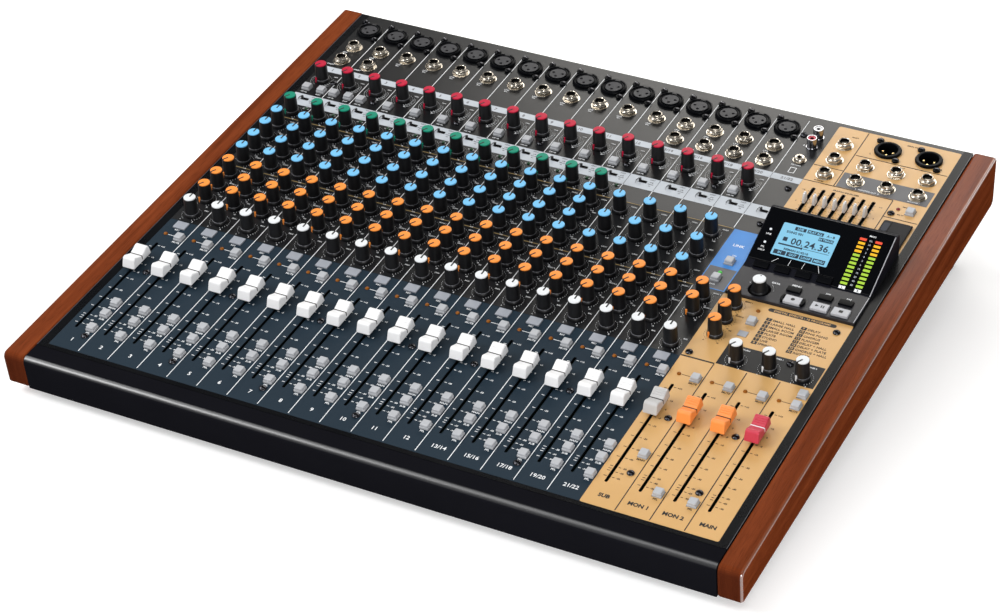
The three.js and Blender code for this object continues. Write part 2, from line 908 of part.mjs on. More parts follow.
function jogDial() {
  const middle = [0, 0];
  const shaft_head = dial_foot + cut_overrun;
  return toGeometry(join([
    post(dial_sides, dial_base_radius, dial_top_radius, dial_foot, dial_top, middle),
    post(moving_shaft_sides, dial_shaft_radius, dial_shaft_radius, shaft_tip, shaft_head, middle),
  ]));
}

// A transport key: a cap through the pod's shelf on a stem that stops its travel above the board
function transportKey() {
  const half_stem = key_stem_width / 2;
  return toGeometry(join([
    block([-key_width / 2, -key_length / 2, key_top - key_skirt], [key_width / 2, key_length / 2, key_top]),
    block(
      [-half_stem, -half_stem, shaft_tip + key_travel],
      [half_stem, half_stem, key_top - key_skirt + cut_overrun],
    ),
  ]));
}

// Card slot cover, drawn around its hinge axis, with a half-round hinge edge
const cover_axis_across = cover_right - cover_thickness / 2;
const cover_axis_height = seat_gap + cover_thickness / 2;

function cardSlotCover() {
  const half = cover_thickness / 2;
  const reach = cover_axis_across - cover_left;
  const shape = new THREE.Shape([new THREE.Vector2(-reach, half), new THREE.Vector2(-reach, -half)]);
  shape.lineTo(0, -half);
  shape.absarc(0, 0, half, -Math.PI / 2, Math.PI / 2);
  const geometry = new THREE.ExtrudeGeometry(shape, {
    depth: cover_rear - cover_front,
    bevelEnabled: false,
    curveSegments: cover_round_steps,
  });
  geometry.rotateX(Math.PI / 2);
  return geometry.translate(0, cover_rear, 0);
}

// Steel tray under the deck, upright at the rear, with the inlet and switch openings
const tray_left = panel_left;
const tray_right = panel_right;
const tray_front = worldY(rail_lean - rail_front + rail_wall + seat_gap, -rail_height);
const tray_rear = worldY(panel_rear, 0) - tray_rear_setback;
const rocker_across = inlet_across + supply_width / 2 + rocker_offset;

function trayTop(back) {
  return deck_lift + back * deck_slope_share - (panel_thickness + seat_gap) / run_of_deck;
}

function baseChassis() {
  const floor = foot_height + chassis_wall;
  const shell = toSolid(sideExtrusion(sidePoints([
    [tray_front, foot_height],
    [tray_rear, foot_height],
    [tray_rear, trayTop(tray_rear)],
    [tray_front, trayTop(tray_front)],
  ]), tray_left, tray_right));
  const inside_front = tray_front + chassis_wall;
  const inside_rear = tray_rear - chassis_wall;
  const hollow = toSolid(sideExtrusion(sidePoints([
    [inside_front, floor],
    [inside_rear, floor],
    [inside_rear, trayTop(tray_rear) + cut_overrun],
    [inside_front, trayTop(tray_rear) + cut_overrun],
  ]), tray_left + chassis_wall, tray_right - chassis_wall));
  const rear_cut = [inside_rear - cut_overrun, tray_rear + cut_overrun];
  const inlet_half = inlet_width / 2 + seat_gap;
  const inlet_half_height = inlet_height / 2 + seat_gap;
  const rocker_half = rocker_width / 2 + running_gap;
  const rocker_half_height = rocker_height / 2 + running_gap;
  return toGeometry(shell.subtract(join([
    hollow,
    block(
      [inlet_across - inlet_half, rear_cut[0], inlet_level - inlet_half_height],
      [inlet_across + inlet_half, rear_cut[1], inlet_level + inlet_half_height],
    ),
    block(
      [rocker_across - rocker_half, rear_cut[0], inlet_level - rocker_half_height],
      [rocker_across + rocker_half, rear_cut[1], inlet_level + rocker_half_height],
    ),
  ])));
}

// Power supply box with the three-pin mains inlet that shows through the rear wall
function powerSupply() {
  const box_rear = tray_rear - chassis_wall - seat_gap;
  const floor = foot_height + chassis_wall;
  const rim = tray_rear + inlet_rim;
  const half_width = inlet_width / 2;
  const half_height = inlet_height / 2;
  const body = join([
    block(
      [inlet_across - supply_width / 2, box_rear - supply_depth, floor],
      [inlet_across + supply_width / 2, box_rear, floor + supply_height],
    ),
    block(
      [inlet_across - half_width, box_rear - cut_overrun, inlet_level - half_height],
      [inlet_across + half_width, rim, inlet_level + half_height],
    ),
  ]);
  const well = block(
    [inlet_across - half_width + inlet_wall, rim - inlet_depth, inlet_level - half_height + inlet_wall],
    [inlet_across + half_width - inlet_wall, rim + cut_overrun, inlet_level + half_height - inlet_wall],
  );
  const pins = countFrom(0, pin_count).map((index) => {
    const across = inlet_across + (index - 1) * inlet_pin_pitch;
    const up = inlet_level + (index === 1 ? inlet_pin_height / 2 : -inlet_pin_height / 2);
    return block(
      [across - inlet_pin_width / 2, rim - inlet_depth - inlet_wall, up - inlet_pin_height / 2],
      [across + inlet_pin_width / 2, rim - inlet_depth + inlet_pin_length, up + inlet_pin_height / 2],
    );
  });
  return toGeometry(join([body.subtract(well), ...pins]));
}

// Power switch rocker, drawn around its pivot
function rocker() {
  return toGeometry(block(
    [-rocker_width / 2, -rocker_depth / 2, -rocker_height / 2],
    [rocker_width / 2, rocker_depth / 2, rocker_height / 2],
  ));
}

function foot() {
  return toGeometry(post(foot_sides, foot_radius, foot_radius, 0, foot_height, [0, 0]));
}

// Finishes, by slot
const finishes = {
  wood: { color: 0x7d3d22, roughness: 0.45, metalness: 0 },
  deck_steel: { color: 0x2a2f36, roughness: 0.6, metalness: 0.3 },
  rail_metal: { color: 0x24262c, roughness: 0.45, metalness: 0.5 },
  tray_steel: { color: 0x1c1d20, roughness: 0.6, metalness: 0.4 },
  circuit_board: { color: 0x2f5a3c, roughness: 0.6, metalness: 0 },
  socket_metal: { color: 0xb9b9b4, roughness: 0.3, metalness: 0.9 },
  pod_plastic: { color: 0x3a3b40, roughness: 0.5, metalness: 0 },
  black_glass: { color: 0x07080a, roughness: 0.1, metalness: 0 },
  knob_red: { color: 0xc8344c, roughness: 0.5, metalness: 0 },
  knob_green: { color: 0x17957c, roughness: 0.5, metalness: 0 },
  knob_blue: { color: 0x78bdf0, roughness: 0.5, metalness: 0 },
  knob_orange: { color: 0xf59a3c, roughness: 0.5, metalness: 0 },
  knob_white: { color: 0xf2f2f2, roughness: 0.5, metalness: 0 },
  cap_white: { color: 0xf4f4f4, roughness: 0.5, metalness: 0 },
  cap_grey: { color: 0xb9b8b3, roughness: 0.5, metalness: 0 },
  cap_orange: { color: 0xf07c26, roughness: 0.5, metalness: 0 },
  cap_red: { color: 0xc23144, roughness: 0.5, metalness: 0 },
  key_plastic: { color: 0xc9c9cc, roughness: 0.5, metalness: 0 },
  black_plastic: { color: 0x17181a, roughness: 0.55, metalness: 0 },
  rubber: { color: 0x141414, roughness: 0.9, metalness: 0 },
};

const desk = new THREE.Group();
const deck = new THREE.Group();
const stand = new THREE.Group();
deck.rotation.x = deck_tilt;
deck.position.set(-panel_middle, 0, deck_lift);
stand.position.x = -panel_middle;
desk.add(deck, stand);

function place(group, name, finish, geometry, at = [0, 0, 0]) {
  const mesh = new THREE.Mesh(geometry, new THREE.MeshStandardMaterial(finishes[finish]));
  mesh.name = name;
  mesh.position.set(...at);
  group.add(mesh);
  return mesh;
}

place(stand, 'base_chassis', 'tray_steel', baseChassis());
place(stand, 'power_supply', 'black_plastic', powerSupply());
place(deck, 'top_panel', 'deck_steel', topPanel());
place(deck, 'front_rail', 'rail_metal', frontRail());
place(deck, 'left_cheek', 'wood', cheek(), [-side_border - cheek_thickness, 0, 0]);
place(deck, 'right_cheek', 'wood', cheek(), [print_width + side_border, 0, 0]);
place(deck, 'mono_control_board', 'circuit_board', monoControlBoard());
place(deck, 'master_control_board', 'circuit_board', masterControlBoard());
place(deck, 'fader_board', 'circuit_board', faderBoard());
place(deck, 'connector_board', 'socket_metal', connectorBoard());
place(deck, 'display_pod', 'pod_plastic', displayPod());
place(deck, 'display_window', 'black_glass', displayWindow());

const knob_fits = [
  ['trim_knob', 'knob_red'],
  ['compressor_knob', 'knob_green'],
  ['high_knob', 'knob_blue'],
  ['mid_level_knob', 'knob_blue'],
  ['mid_sweep_knob', 'knob_blue'],
  ['low_knob', 'knob_blue'],
  ['monitor_1_knob', 'knob_orange'],
  ['monitor_2_knob', 'knob_orange'],
  ['effect_send_knob', 'knob_orange'],
  ['pan_knob', 'knob_white'],
];
turning_knobs.forEach(([u, v], index) => {
  const [name, finish] = knob_fits[index];
  place(deck, `${name}_01`, finish, turningKnob(), [u, v, 0]);
});

countFrom(0, input_strips).forEach((strip) => {
  const name = `fader_${String(strip + 1).padStart(2, '0')}`;
  place(deck, name, 'cap_white', fader(), [faderAcross(strip), fader_rest, 0]);
});
const master_fits = [
  ['fader_sub', 'cap_grey'],
  ['fader_monitor_1', 'cap_orange'],
  ['fader_monitor_2', 'cap_orange'],
  ['fader_main', 'cap_red'],
];
master_fits.forEach(([name, finish], index) => {
  place(deck, name, finish, fader(), [faderAcross(input_strips + index), fader_rest, 0]);
});

const eq_rest = (eq_slot_front + eq_slot_rear) / 2;
countFrom(0, eq_bands).forEach((band) => {
  place(deck, `eq_slider_${band + 1}`, 'cap_white', eqSlider(), [bandAcross(band), eq_rest, 0]);
});

place(deck, 'jog_dial', 'black_plastic', jogDial(), [dial_across, dial_row, 0]);
key_names.forEach((name, index) => {
  place(deck, name, 'key_plastic', transportKey(), [key_across[index], key_row, 0]);
});
place(deck, 'card_slot_cover', 'pod_plastic', cardSlotCover(), [cover_axis_across, 0, cover_axis_height]);

const rocker_pivot = tray_rear - chassis_wall / 2;
const power_switch = place(
  stand, 'power_switch', 'black_plastic', rocker(), [rocker_across, rocker_pivot, inlet_level],
);
power_switch.rotation.x = rocker_throw;

const foot_left = tray_left + foot_side_inset;
const foot_right = tray_right - foot_side_inset;
const foot_front = tray_front + foot_front_inset;
const foot_rear = tray_rear - foot_rear_inset;
place(stand, 'foot_front_left', 'rubber', foot(), [foot_left, foot_front, 0]);
place(stand, 'foot_front_right', 'rubber', foot(), [foot_right, foot_front, 0]);
place(stand, 'foot_rear_left', 'rubber', foot(), [foot_left, foot_rear, 0]);
place(stand, 'foot_rear_right', 'rubber', foot(), [foot_right, foot_rear, 0]);

// The origin goes to the middle of the whole outline
desk.updateMatrixWorld(true);
const outline = new THREE.Box3().setFromObject(desk, true);
desk.position.y = -(outline.min.y + outline.max.y) / 2;

export default desk;
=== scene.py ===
# %% [markdown]
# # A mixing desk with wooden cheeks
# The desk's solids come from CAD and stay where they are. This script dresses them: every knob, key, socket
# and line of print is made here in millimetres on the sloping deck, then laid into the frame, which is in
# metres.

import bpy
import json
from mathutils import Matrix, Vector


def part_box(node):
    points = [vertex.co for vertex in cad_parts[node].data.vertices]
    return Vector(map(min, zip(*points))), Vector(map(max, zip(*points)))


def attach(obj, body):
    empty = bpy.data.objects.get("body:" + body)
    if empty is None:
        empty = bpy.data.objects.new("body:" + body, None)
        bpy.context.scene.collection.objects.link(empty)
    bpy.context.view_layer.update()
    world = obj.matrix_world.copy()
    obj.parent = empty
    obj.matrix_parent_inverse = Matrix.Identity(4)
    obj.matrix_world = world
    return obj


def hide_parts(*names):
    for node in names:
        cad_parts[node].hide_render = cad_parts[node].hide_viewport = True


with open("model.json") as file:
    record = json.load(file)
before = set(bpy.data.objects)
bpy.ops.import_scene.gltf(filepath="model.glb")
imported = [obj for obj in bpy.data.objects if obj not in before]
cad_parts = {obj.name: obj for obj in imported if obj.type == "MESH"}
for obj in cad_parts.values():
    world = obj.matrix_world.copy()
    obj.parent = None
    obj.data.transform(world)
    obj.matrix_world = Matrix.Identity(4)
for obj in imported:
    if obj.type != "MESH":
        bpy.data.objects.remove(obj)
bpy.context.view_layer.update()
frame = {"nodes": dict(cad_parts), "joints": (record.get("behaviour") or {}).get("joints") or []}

import json
import math

import bmesh
import bpy
from mathutils import Matrix, Vector

# %% [markdown]
# ## The deck's own axes
# On the deck, u runs right along the strips, v runs back and z stands square to the panel, all in
# millimetres. The first fader's joint gives all three: it slides along v, and it rests at a known place on
# its strip. So the whole layout below can be written as on a drawing of the panel, and one matrix carries it
# into the room.

# %% Find the deck
mm = 0.001
fader_slot_offset = 7.5
fader_rest = 107.5
joints = {joint["name"]: joint for joint in frame["joints"]}
first_fader = joints["fader_01_slide"]
right = Vector((1, 0, 0))
back = Vector(first_fader["axis"]).normalized()
up = right.cross(back)
turn_to_deck = Matrix((right, back, up)).transposed()
deck_corner = Vector(first_fader["pos_m"]) - turn_to_deck @ Vector((fader_slot_offset, fader_rest, 0)) * mm
deck = Matrix.Translation(deck_corner) @ turn_to_deck.to_4x4() @ Matrix.Scale(mm, 4)
print("deck corner", [round(value, 4) for value in deck_corner])

# %% [markdown]
# ## Camera
# The camera stands where the photograph's did. The strips are straight, equal and square to each other, so
# their lines in the picture give away where it stood, how it was turned and how long its lens was.

# %% Camera
scene = bpy.context.scene
scene.view_settings.view_transform = "Standard"

camera_place = Vector((0.77246, -1.56736, 1.09529))
camera_right = Vector((0.892488, 0.451045, 0.004775))
camera_down = Vector((0.240573, -0.467018, -0.850893))
camera_forward = Vector((-0.381561, 0.760561, -0.525317))
lens = 97.935
film_width = 36

camera_data = bpy.data.cameras.new("camera")
camera_data.lens = lens
camera_data.sensor_width = film_width
camera = bpy.data.objects.new("camera", camera_data)
view_turn = Matrix((camera_right, -camera_down, -camera_forward)).transposed()
camera.matrix_world = Matrix.Translation(camera_place) @ view_turn.to_4x4()
scene.collection.objects.link(camera)
scene.camera = camera
print("camera looks along", [round(value, 3) for value in camera_forward])

# %% [markdown]
# ## Colours and nodes
# Shaders reckon in linear light, so a colour that is read off a screen has to be turned into linear values.
# Node trees grow long when every link is a line of its own. Here one helper adds a node and fills its
# inputs, each with a value or with another node's output, and small helpers on top of it make a tree read
# like a sum.

# %% Colours


def linear(value):
    share = value / 255
    return share / 12.92 if share <= 0.04045 else ((share + 0.055) / 1.055) ** 2.4


def colour(red, green, blue):
    """A colour as read off a screen, 0 to 255, in the linear values that the shaders take."""
    return (linear(red), linear(green), linear(blue), 1)


def shaded(tint, share):
    return (*[min(1, value * share) for value in tint[:3]], 1)


print("middle grey is", round(linear(128), 3), "in linear light")

# %% Nodes


def fill(tree, node, inputs):
    """Sets a node's inputs. What is another node's output gets a link, anything else is a value."""
    for socket, value in inputs.items():
        if isinstance(value, bpy.types.NodeSocket):
            tree.links.new(value, node.inputs[socket])
        else:
            node.inputs[socket].default_value = value


def add(tree, kind, at, inputs=None, **settings):
    """A node at a place of the tree's drawing. Its settings come first, because they decide its inputs."""
    node = tree.nodes.new(kind)
    node.location = at
    for name, value in settings.items():
        setattr(node, name, value)
    fill(tree, node, inputs or {})
    return node


def reckon(tree, operation, first, second, at):
    return add(tree, "ShaderNodeMath", at, {0: first, 1: second}, operation=operation).outputs[0]


def stretch(tree, value, given, wanted, at, **settings):
    """A value carried over from one range to another."""
    inputs = {
        "Value": value, "From Min": given[0], "From Max": given[1], "To Min": wanted[0], "To Max": wanted[1],
    }
    return add(tree, "ShaderNodeMapRange", at, inputs, **settings).outputs["Result"]


def blend(tree, share, first, second, at, kind="RGBA"):
    inputs = {"Factor": share, "A": first, "B": second}
    return add(tree, "ShaderNodeMix", at, inputs, data_type=kind).outputs["Result"]


def noise(tree, place, scale, detail, at, distortion=0):
    inputs = {"Vector": place, "Scale": scale, "Detail": detail, "Distortion": distortion}
    return add(tree, "ShaderNodeTexNoise", at, inputs).outputs["Fac"]


print("node helpers", [helper.__name__ for helper in (fill, add, reckon, stretch, blend, noise)])

# %% [markdown]
# ## Lamps
# A narrow soft box in front on the left gives the colours most of their plain level, and the rounded edge of
# the rail mirrors it as one long light line. Lamps overhead, on the left and low in front on the right fill
# the rest, and a small one behind on the right runs along the lacquered edge of the right cheek. A soft box
# far behind lies where the satin deck mirrors it into the lens: that is what makes the black panel turn grey
# towards its rear right corner.

# %% Lamps


def lamp(name, place, aim, size, energy, tint=(1, 1, 1)):
    data = bpy.data.lights.new(name, "AREA")
    data.shape = "RECTANGLE"
    data.size, data.size_y = size
    data.energy = energy
    data.color = tint
    lamp_object = bpy.data.objects.new(name, data)
    lamp_object.location = place
    lamp_object.rotation_euler = (Vector(aim) - Vector(place)).to_track_quat("-Z", "Y").to_euler()
    scene.collection.objects.link(lamp_object)


desk_middle = (0, 0, 0.05)
warm_white = (1, 0.97, 0.92)
lamp("overhead_lamp", (-0.1, -0.55, 1.9), (0, -0.1, 0.05), (1.9, 1.1), 11.5)
lamp("left_lamp", (-1.6, 0.15, 1.6), desk_middle, (0.8, 0.8), 13)
lamp("front_soft_box", (-1.62, -1.35, 1.75), desk_middle, (0.8, 1.2), 35)
lamp("low_front_lamp", (0.85, -1.2, 0.35), (0.2, -0.25, 0.03), (0.5, 0.3), 9)
lamp("edge_lamp", (1.55, 2.05, 0.68), (0.28, 0, 0.06), (0.5, 0.5), 4)
lamp("rear_soft_box", (-0.1, 1.92, 1.42), (0.1, 0.15, 0.1), (1.9, 0.8), 24, warm_white)
print("lamps", len(bpy.data.lights))

# %% [markdown]
# ## Sky and floor
# A studio is white all round, but a white sky would wash out every dark gloss. So the sky lights the desk
# with one low level, and only the lens, mirrors and clear plastic see it as a bright horizon that darkens
# overhead. The floor does the same: it takes the desk's shadow as pale paint, and looks brighter than it
# lights.

# %% Sky


def seen_rays(tree, at):
    """1 for rays from the lens and from mirrors, and the node that tells the kinds of rays apart."""
    path = add(tree, "ShaderNodeLightPath", at)
    beside = (at[0] + 200, at[1])
    return reckon(tree, "MAXIMUM", path.outputs["Is Camera Ray"], path.outputs["Is Glossy Ray"], beside), path


sky_level = 0.35
horizon_rise = (0.1, 0.5)
horizon_glow = (1, 0.05)
world = bpy.data.worlds.new("studio")
scene.world = world
world.use_nodes = True
tree = world.node_tree
tree.nodes.clear()
direction = add(tree, "ShaderNodeTexCoord", (-900, 0))
split = add(tree, "ShaderNodeSeparateXYZ", (-700, 0), {0: direction.outputs["Generated"]})
horizon = stretch(tree, split.outputs["Z"], horizon_rise, horizon_glow, (-500, 0))
seen, path = seen_rays(tree, (-700, -300))
seen_through = reckon(tree, "MAXIMUM", seen, path.outputs["Is Transmission Ray"], (-300, -300))
light_sky = add(tree, "ShaderNodeBackground", (-300, 100), {"Strength": sky_level})
seen_sky = add(tree, "ShaderNodeBackground", (-300, -100), {"Strength": horizon})
skies = {0: seen_through, 1: light_sky.outputs[0], 2: seen_sky.outputs[0]}
mixed_sky = add(tree, "ShaderNodeMixShader", (-50, 0), skies)
add(tree, "ShaderNodeOutputWorld", (150, 0), {"Surface": mixed_sky.outputs[0]})
print("sky level", sky_level)

# %% Floor
floor_reach = 12
floor_glow = 0.4
floor_mesh = bpy.data.meshes.new("floor")
floor_corners = [(-1, -1, 0), (1, -1, 0), (1, 1, 0), (-1, 1, 0)]
floor_mesh.from_pydata([Vector(corner) * floor_reach for corner in floor_corners], [], [(0, 1, 2, 3)])
floor = bpy.data.objects.new("floor", floor_mesh)
scene.collection.objects.link(floor)
floor_finish = bpy.data.materials.new("pale_floor")
floor_finish.use_nodes = True
tree = floor_finish.node_tree
tree.nodes.clear()
seen, path = seen_rays(tree, (-600, 200))
paint = add(tree, "ShaderNodeBsdfDiffuse", (-400, 0), {"Color": colour(235, 235, 235)})
glow = add(tree, "ShaderNodeEmission", (-400, -150), {"Strength": floor_glow})
lit = add(tree, "ShaderNodeAddShader", (-200, -80), {0: paint.outputs[0], 1: glow.outputs[0]})
both = add(tree, "ShaderNodeMixShader", (0, 0), {0: seen, 1: paint.outputs[0], 2: lit.outputs[0]})
add(tree, "ShaderNodeOutputMaterial", (200, 0), {"Surface": both.outputs[0]})
floor_mesh.materials.append(floor_finish)
print("floor reaches", floor_reach, "m each way")

# %% [markdown]
# ## Grain and figure
# Paint, moulded plastic, plated metal and wood differ mostly in how rough they are and how that changes over
# the surface. One shader group makes fine grain and slow patches for all of them, from the place on the
# object, so that nothing slides when a part moves. A second group gives the wood its long figure and short
# dark pores.

# %% Shader groups
noise_middle = (0.35, 0.65)
plain_range = (0, 1)


def shader_group(name, inputs, outputs):
    tree = bpy.data.node_groups.new(name, "ShaderNodeTree")
    for label, value in inputs:
        socket = tree.interface.new_socket(label, in_out="INPUT", socket_type="NodeSocketFloat")
        socket.default_value = value
    for label in outputs:
        tree.interface.new_socket(label, in_out="OUTPUT", socket_type="NodeSocketFloat")
    return tree, add(tree, "NodeGroupInput", (-900, 0)), add(tree, "NodeGroupOutput", (600, 0))


def surface_grain_group():
    inputs = [("Scale", 1500), ("Patch Scale", 25), ("Speckle", 0.25)]
    tree, given, result = shader_group("surface grain", inputs, ["Height", "Tone"])
    place = add(tree, "ShaderNodeTexCoord", (-900, -200)).outputs["Object"]
    fine = noise(tree, place, given.outputs["Scale"], 3, (-600, 100))
    slow = noise(tree, place, given.outputs["Patch Scale"], 4, (-600, -200))
    patches = stretch(tree, slow, noise_middle, plain_range, (-300, -200))
    speckle = stretch(tree, fine, noise_middle, plain_range, (-300, 100))
    tone = blend(tree, given.outputs["Speckle"], patches, speckle, (0, 0), "FLOAT")
    fill(tree, result, {"Height": fine, "Tone": tone})
    return tree


def wood_figure_group():
    tree, given, result = shader_group("wood figure", [("Along", 5), ("Across", 130)], ["Figure", "Pores"])
    place = add(tree, "ShaderNodeAttribute", (-1300, -200), attribute_name="board")
    across = given.outputs["Across"]
    scales = add(tree, "ShaderNodeCombineXYZ", (-1100, 100),
                 {"X": across, "Y": given.outputs["Along"], "Z": across})
    drawn = add(tree, "ShaderNodeVectorMath", (-900, -200),
                {0: place.outputs["Vector"], 1: scales.outputs[0]},
                operation="MULTIPLY").outputs[0]
    broad = noise(tree, drawn, 1, 5, (-600, 100), distortion=0.6)
    thin = noise(tree, drawn, 14, 3, (-600, -200))
    figure = stretch(tree, broad, (0.3, 0.7), plain_range, (-300, 100))
    pores = stretch(tree, thin, (0.5, 0.72), plain_range, (-300, -200))
    fill(tree, result, {"Figure": figure, "Pores": pores})
    return tree


surface_grain = surface_grain_group()
wood_figure = wood_figure_group()
print("shader groups", surface_grain.name, "and", wood_figure.name)

# %% [markdown]
# ## Finishes
# A finish is a Principled shader whose colour, gloss and normals come from the grain group. Lit lenses glow
# a little in their own colour. Lacquer on an edge is a clear coat: a mesh attribute says where it is thick,
# so the cheeks' worn edges and the rail's rounded bend can shine while the faces beside them stay dull.

# %% How a finish is made
finishes = {}
gloss_play = 0.1


def bare_finish(name):
    finish = bpy.data.materials.new(name)
    finish.use_nodes = True
    tree = finish.node_tree
    tree.nodes.clear()
    shader = add(tree, "ShaderNodeBsdfPrincipled", (300, 0))
    add(tree, "ShaderNodeOutputMaterial", (600, 0), {"Surface": shader.outputs[0]})
    finishes[name] = finish
    return tree, shader


def surface(name, screen_colour, roughness, metallic=0.0, scale=1500, depth=0.00002, mottle=0.06, coat=0.0,
            sheen=0.5, speckle=0.25):
    """A finish with fine grain in its normals, and slow patches and fine speckle in its colour and gloss."""
    tree, shader = bare_finish(name)
    tint = colour(*screen_colour)
    inputs = {"Scale": scale, "Speckle": speckle}
    grain = add(tree, "ShaderNodeGroup", (-600, 0), inputs, node_tree=surface_grain)
    tone = grain.outputs["Tone"]
    gloss = (roughness * (1 - gloss_play), min(1, roughness * (1 + gloss_play)))
    bump = add(tree, "ShaderNodeBump", (-100, -200), {"Distance": depth, "Height": grain.outputs["Height"]})
    fill(tree, shader, {
        "Base Color": blend(tree, tone, shaded(tint, 1 - mottle), shaded(tint, 1 + mottle), (-300, 200)),
        "Roughness": stretch(tree, tone, plain_range, gloss, (-300, 0)),
        "Normal": bump.outputs["Normal"],
        "Metallic": metallic,
        "Coat Weight": coat,
        "Specular IOR Level": sheen,
    })


print("a finish's gloss plays by", gloss_play, "of itself")

# %% Lit lenses and clear coats
lens_shade = 0.25
glow_play = 0.06


def glowing(name, screen_colour, glow, roughness=0.3):
    """A lit lens or screen: its own colour, and a glow of that colour with slow patches in it."""
    tree, shader = bare_finish(name)
    tint = colour(*screen_colour)
    grain = add(tree, "ShaderNodeGroup", (-600, 0), node_tree=surface_grain)
    fill(tree, shader, {
        "Emission Color": blend(tree, grain.outputs["Tone"], shaded(tint, 1 - glow_play), tint, (-300, 0)),
        "Base Color": shaded(tint, lens_shade),
        "Emission Strength": glow,
        "Roughness": roughness,
    })


def clear_coat(name, attribute, bare_at, full_at, ior, roughness):
    """A clear coat that is thick only where a mesh attribute says so. Gives back the mask of the coat."""
    tree = finishes[name].node_tree
    shader = next(node for node in tree.nodes if node.type == "BSDF_PRINCIPLED")
    value = add(tree, "ShaderNodeAttribute", (-600, -500), attribute_name=attribute).outputs["Fac"]
    mask = stretch(tree, value, (bare_at, full_at), plain_range, (-300, -500),
                   interpolation_type="SMOOTHSTEP")
    fill(tree, shader, {"Coat Weight": mask, "Coat IOR": ior, "Coat Roughness": roughness})
    return mask


print("the glow of a lens plays by", glow_play, "of itself")

# %% [markdown]
# ## Stained wood
# The stain lies darker in the pores. Along the outer edges it is worn pale, partly wear and partly a
# painted highlight, and the lacquer also makes those edges bright. Faces that look to the front, round the
# nose, are darkened as a painted shade. The grain follows the board's own attribute, which is laid on the
# cheeks further down, so that it runs along them and turns round their nose.

# %% Wood
pore_darkening = 0.6
edge_rub_and_highlight = 0.15


def wood_finish(name):
    tree, shader = bare_finish(name)
    wood = add(tree, "ShaderNodeGroup", (-900, 0), node_tree=wood_figure)
    pores = wood.outputs["Pores"]
    stain = blend(tree, wood.outputs["Figure"], colour(96, 42, 20), colour(128, 62, 32), (-600, 200))
    pore_share = reckon(tree, "MULTIPLY", pores, pore_darkening, (-600, 0))
    pored = blend(tree, pore_share, stain, colour(78, 34, 16), (-300, 200))
    edge = clear_coat(name, "edge", bare_at=0.1, full_at=0.9, ior=2.4, roughness=0.15)
    # Along the lacquered edges the stain turns pale tan: partly wear, partly a painted highlight.
    rub_and_highlight_share = reckon(tree, "MULTIPLY", edge, edge_rub_and_highlight, (-100, 400))
    worn_and_highlit = blend(tree, rub_and_highlight_share, pored, colour(190, 128, 92), (0, 200))
    # Faces that look to the front are darkened towards a deep brown: a painted shade.
    front_painted_shade = add(tree, "ShaderNodeAttribute", (-100, 600), attribute_name="front_painted_shade").outputs["Fac"]
    bump = add(tree, "ShaderNodeBump", (-100, -250), {"Distance": 0.00012, "Height": pores}, invert=True)
    fill(tree, shader, {
        "Base Color": blend(tree, front_painted_shade, worn_and_highlit, colour(58, 24, 14), (150, 200)),
        "Roughness": stretch(tree, pores, plain_range, (0.42, 0.6), (-300, -50)),
        "Normal": bump.outputs["Normal"],
        "Specular IOR Level": 0,
    })


wood_finish("stained_wood")
print("pores darken the stain by", pore_darkening)

# %% [markdown]
# ## The desk's finishes
# The colours are those of the photograph in plain light. Deck paint and print have a coarse grain and a low
# sheen, so that they go grey, not white, where they mirror a lamp. Numbers that this table leaves out are
# those of ordinary moulded plastic.

# %% Paint and print
surface("deck_paint", (15, 16, 18), 0.32, scale=1400, depth=0.00003, mottle=0.14, sheen=0.35, speckle=0.7)
surface("control_print", (12, 13, 16), 0.45, scale=1400, mottle=0.14, sheen=0.3, speckle=0.7)
surface("blue_print", (25, 41, 53), 0.6, scale=1400, mottle=0.07, sheen=0.15, speckle=0.7)
surface("gold_print", (200, 157, 98), 0.36, scale=1400, mottle=0.03, sheen=0.5)
surface("pale_print", (184, 190, 197), 0.5, mottle=0.03)
surface("grey_print", (92, 92, 95), 0.5, mottle=0.04)
surface("bright_blue_print", (64, 132, 204), 0.5, mottle=0.04)
surface("white_ink", (232, 234, 236), 0.55, mottle=0.03)
surface("black_ink", (18, 18, 20), 0.55, mottle=0.05)
surface("ochre_ink", (150, 126, 78), 0.55, mottle=0.05)
surface("line_grey", (32, 31, 31), 0.5, mottle=0.04)
surface("border_paint", (9, 10, 13), 0.28, scale=1400, mottle=0.1, sheen=0.12)
# The pale lines beside the cheeks: a painted highlight on the panel's edges.
surface("edge_highlight_paint", (66, 68, 74), 0.35, mottle=0.05)
# A painted highlight: the pale strip along the pod's right edge.
surface("silver_edge_highlight", (178, 179, 184), 0.3, mottle=0.04)
surface("rail_paint", (19, 19, 23), 0.4, scale=2200, depth=0.00003, sheen=0)
clear_coat("rail_paint", "bend", bare_at=3, full_at=0.8, ior=1.95, roughness=0.34)
surface("tray_paint", (30, 31, 34), 0.6, metallic=0.2, scale=2000, depth=0.00004)
surface("board_green", (36, 78, 50), 0.5, mottle=0.1)
print("finishes so far", len(finishes))

# %% Plastic and rubber
surface("knob_plastic", (15, 15, 17), 0.42, scale=1800, mottle=0.12, sheen=0.35)
# The pale grey of the ring on each knob's skirt is a painted highlight.
surface("knob_rim_highlight", (104, 105, 110), 0.4, mottle=0.05)
surface("black_plastic", (16, 16, 19), 0.42, scale=1800, mottle=0.1)
surface("socket_black", (7, 8, 11), 0.3, mottle=0.1, sheen=0.06)
surface("insert_grey", (56, 56, 59), 0.45, mottle=0.06, sheen=0.25)
surface("bed_black", (15, 16, 24), 0.4, mottle=0.1, sheen=0.08)
surface("pod_plastic", (34, 34, 39), 0.4, scale=2400, depth=0.00003, mottle=0.08, sheen=0.32)
surface("flap_gloss", (20, 21, 25), 0.35, depth=0.00001, mottle=0.08, sheen=0.08)
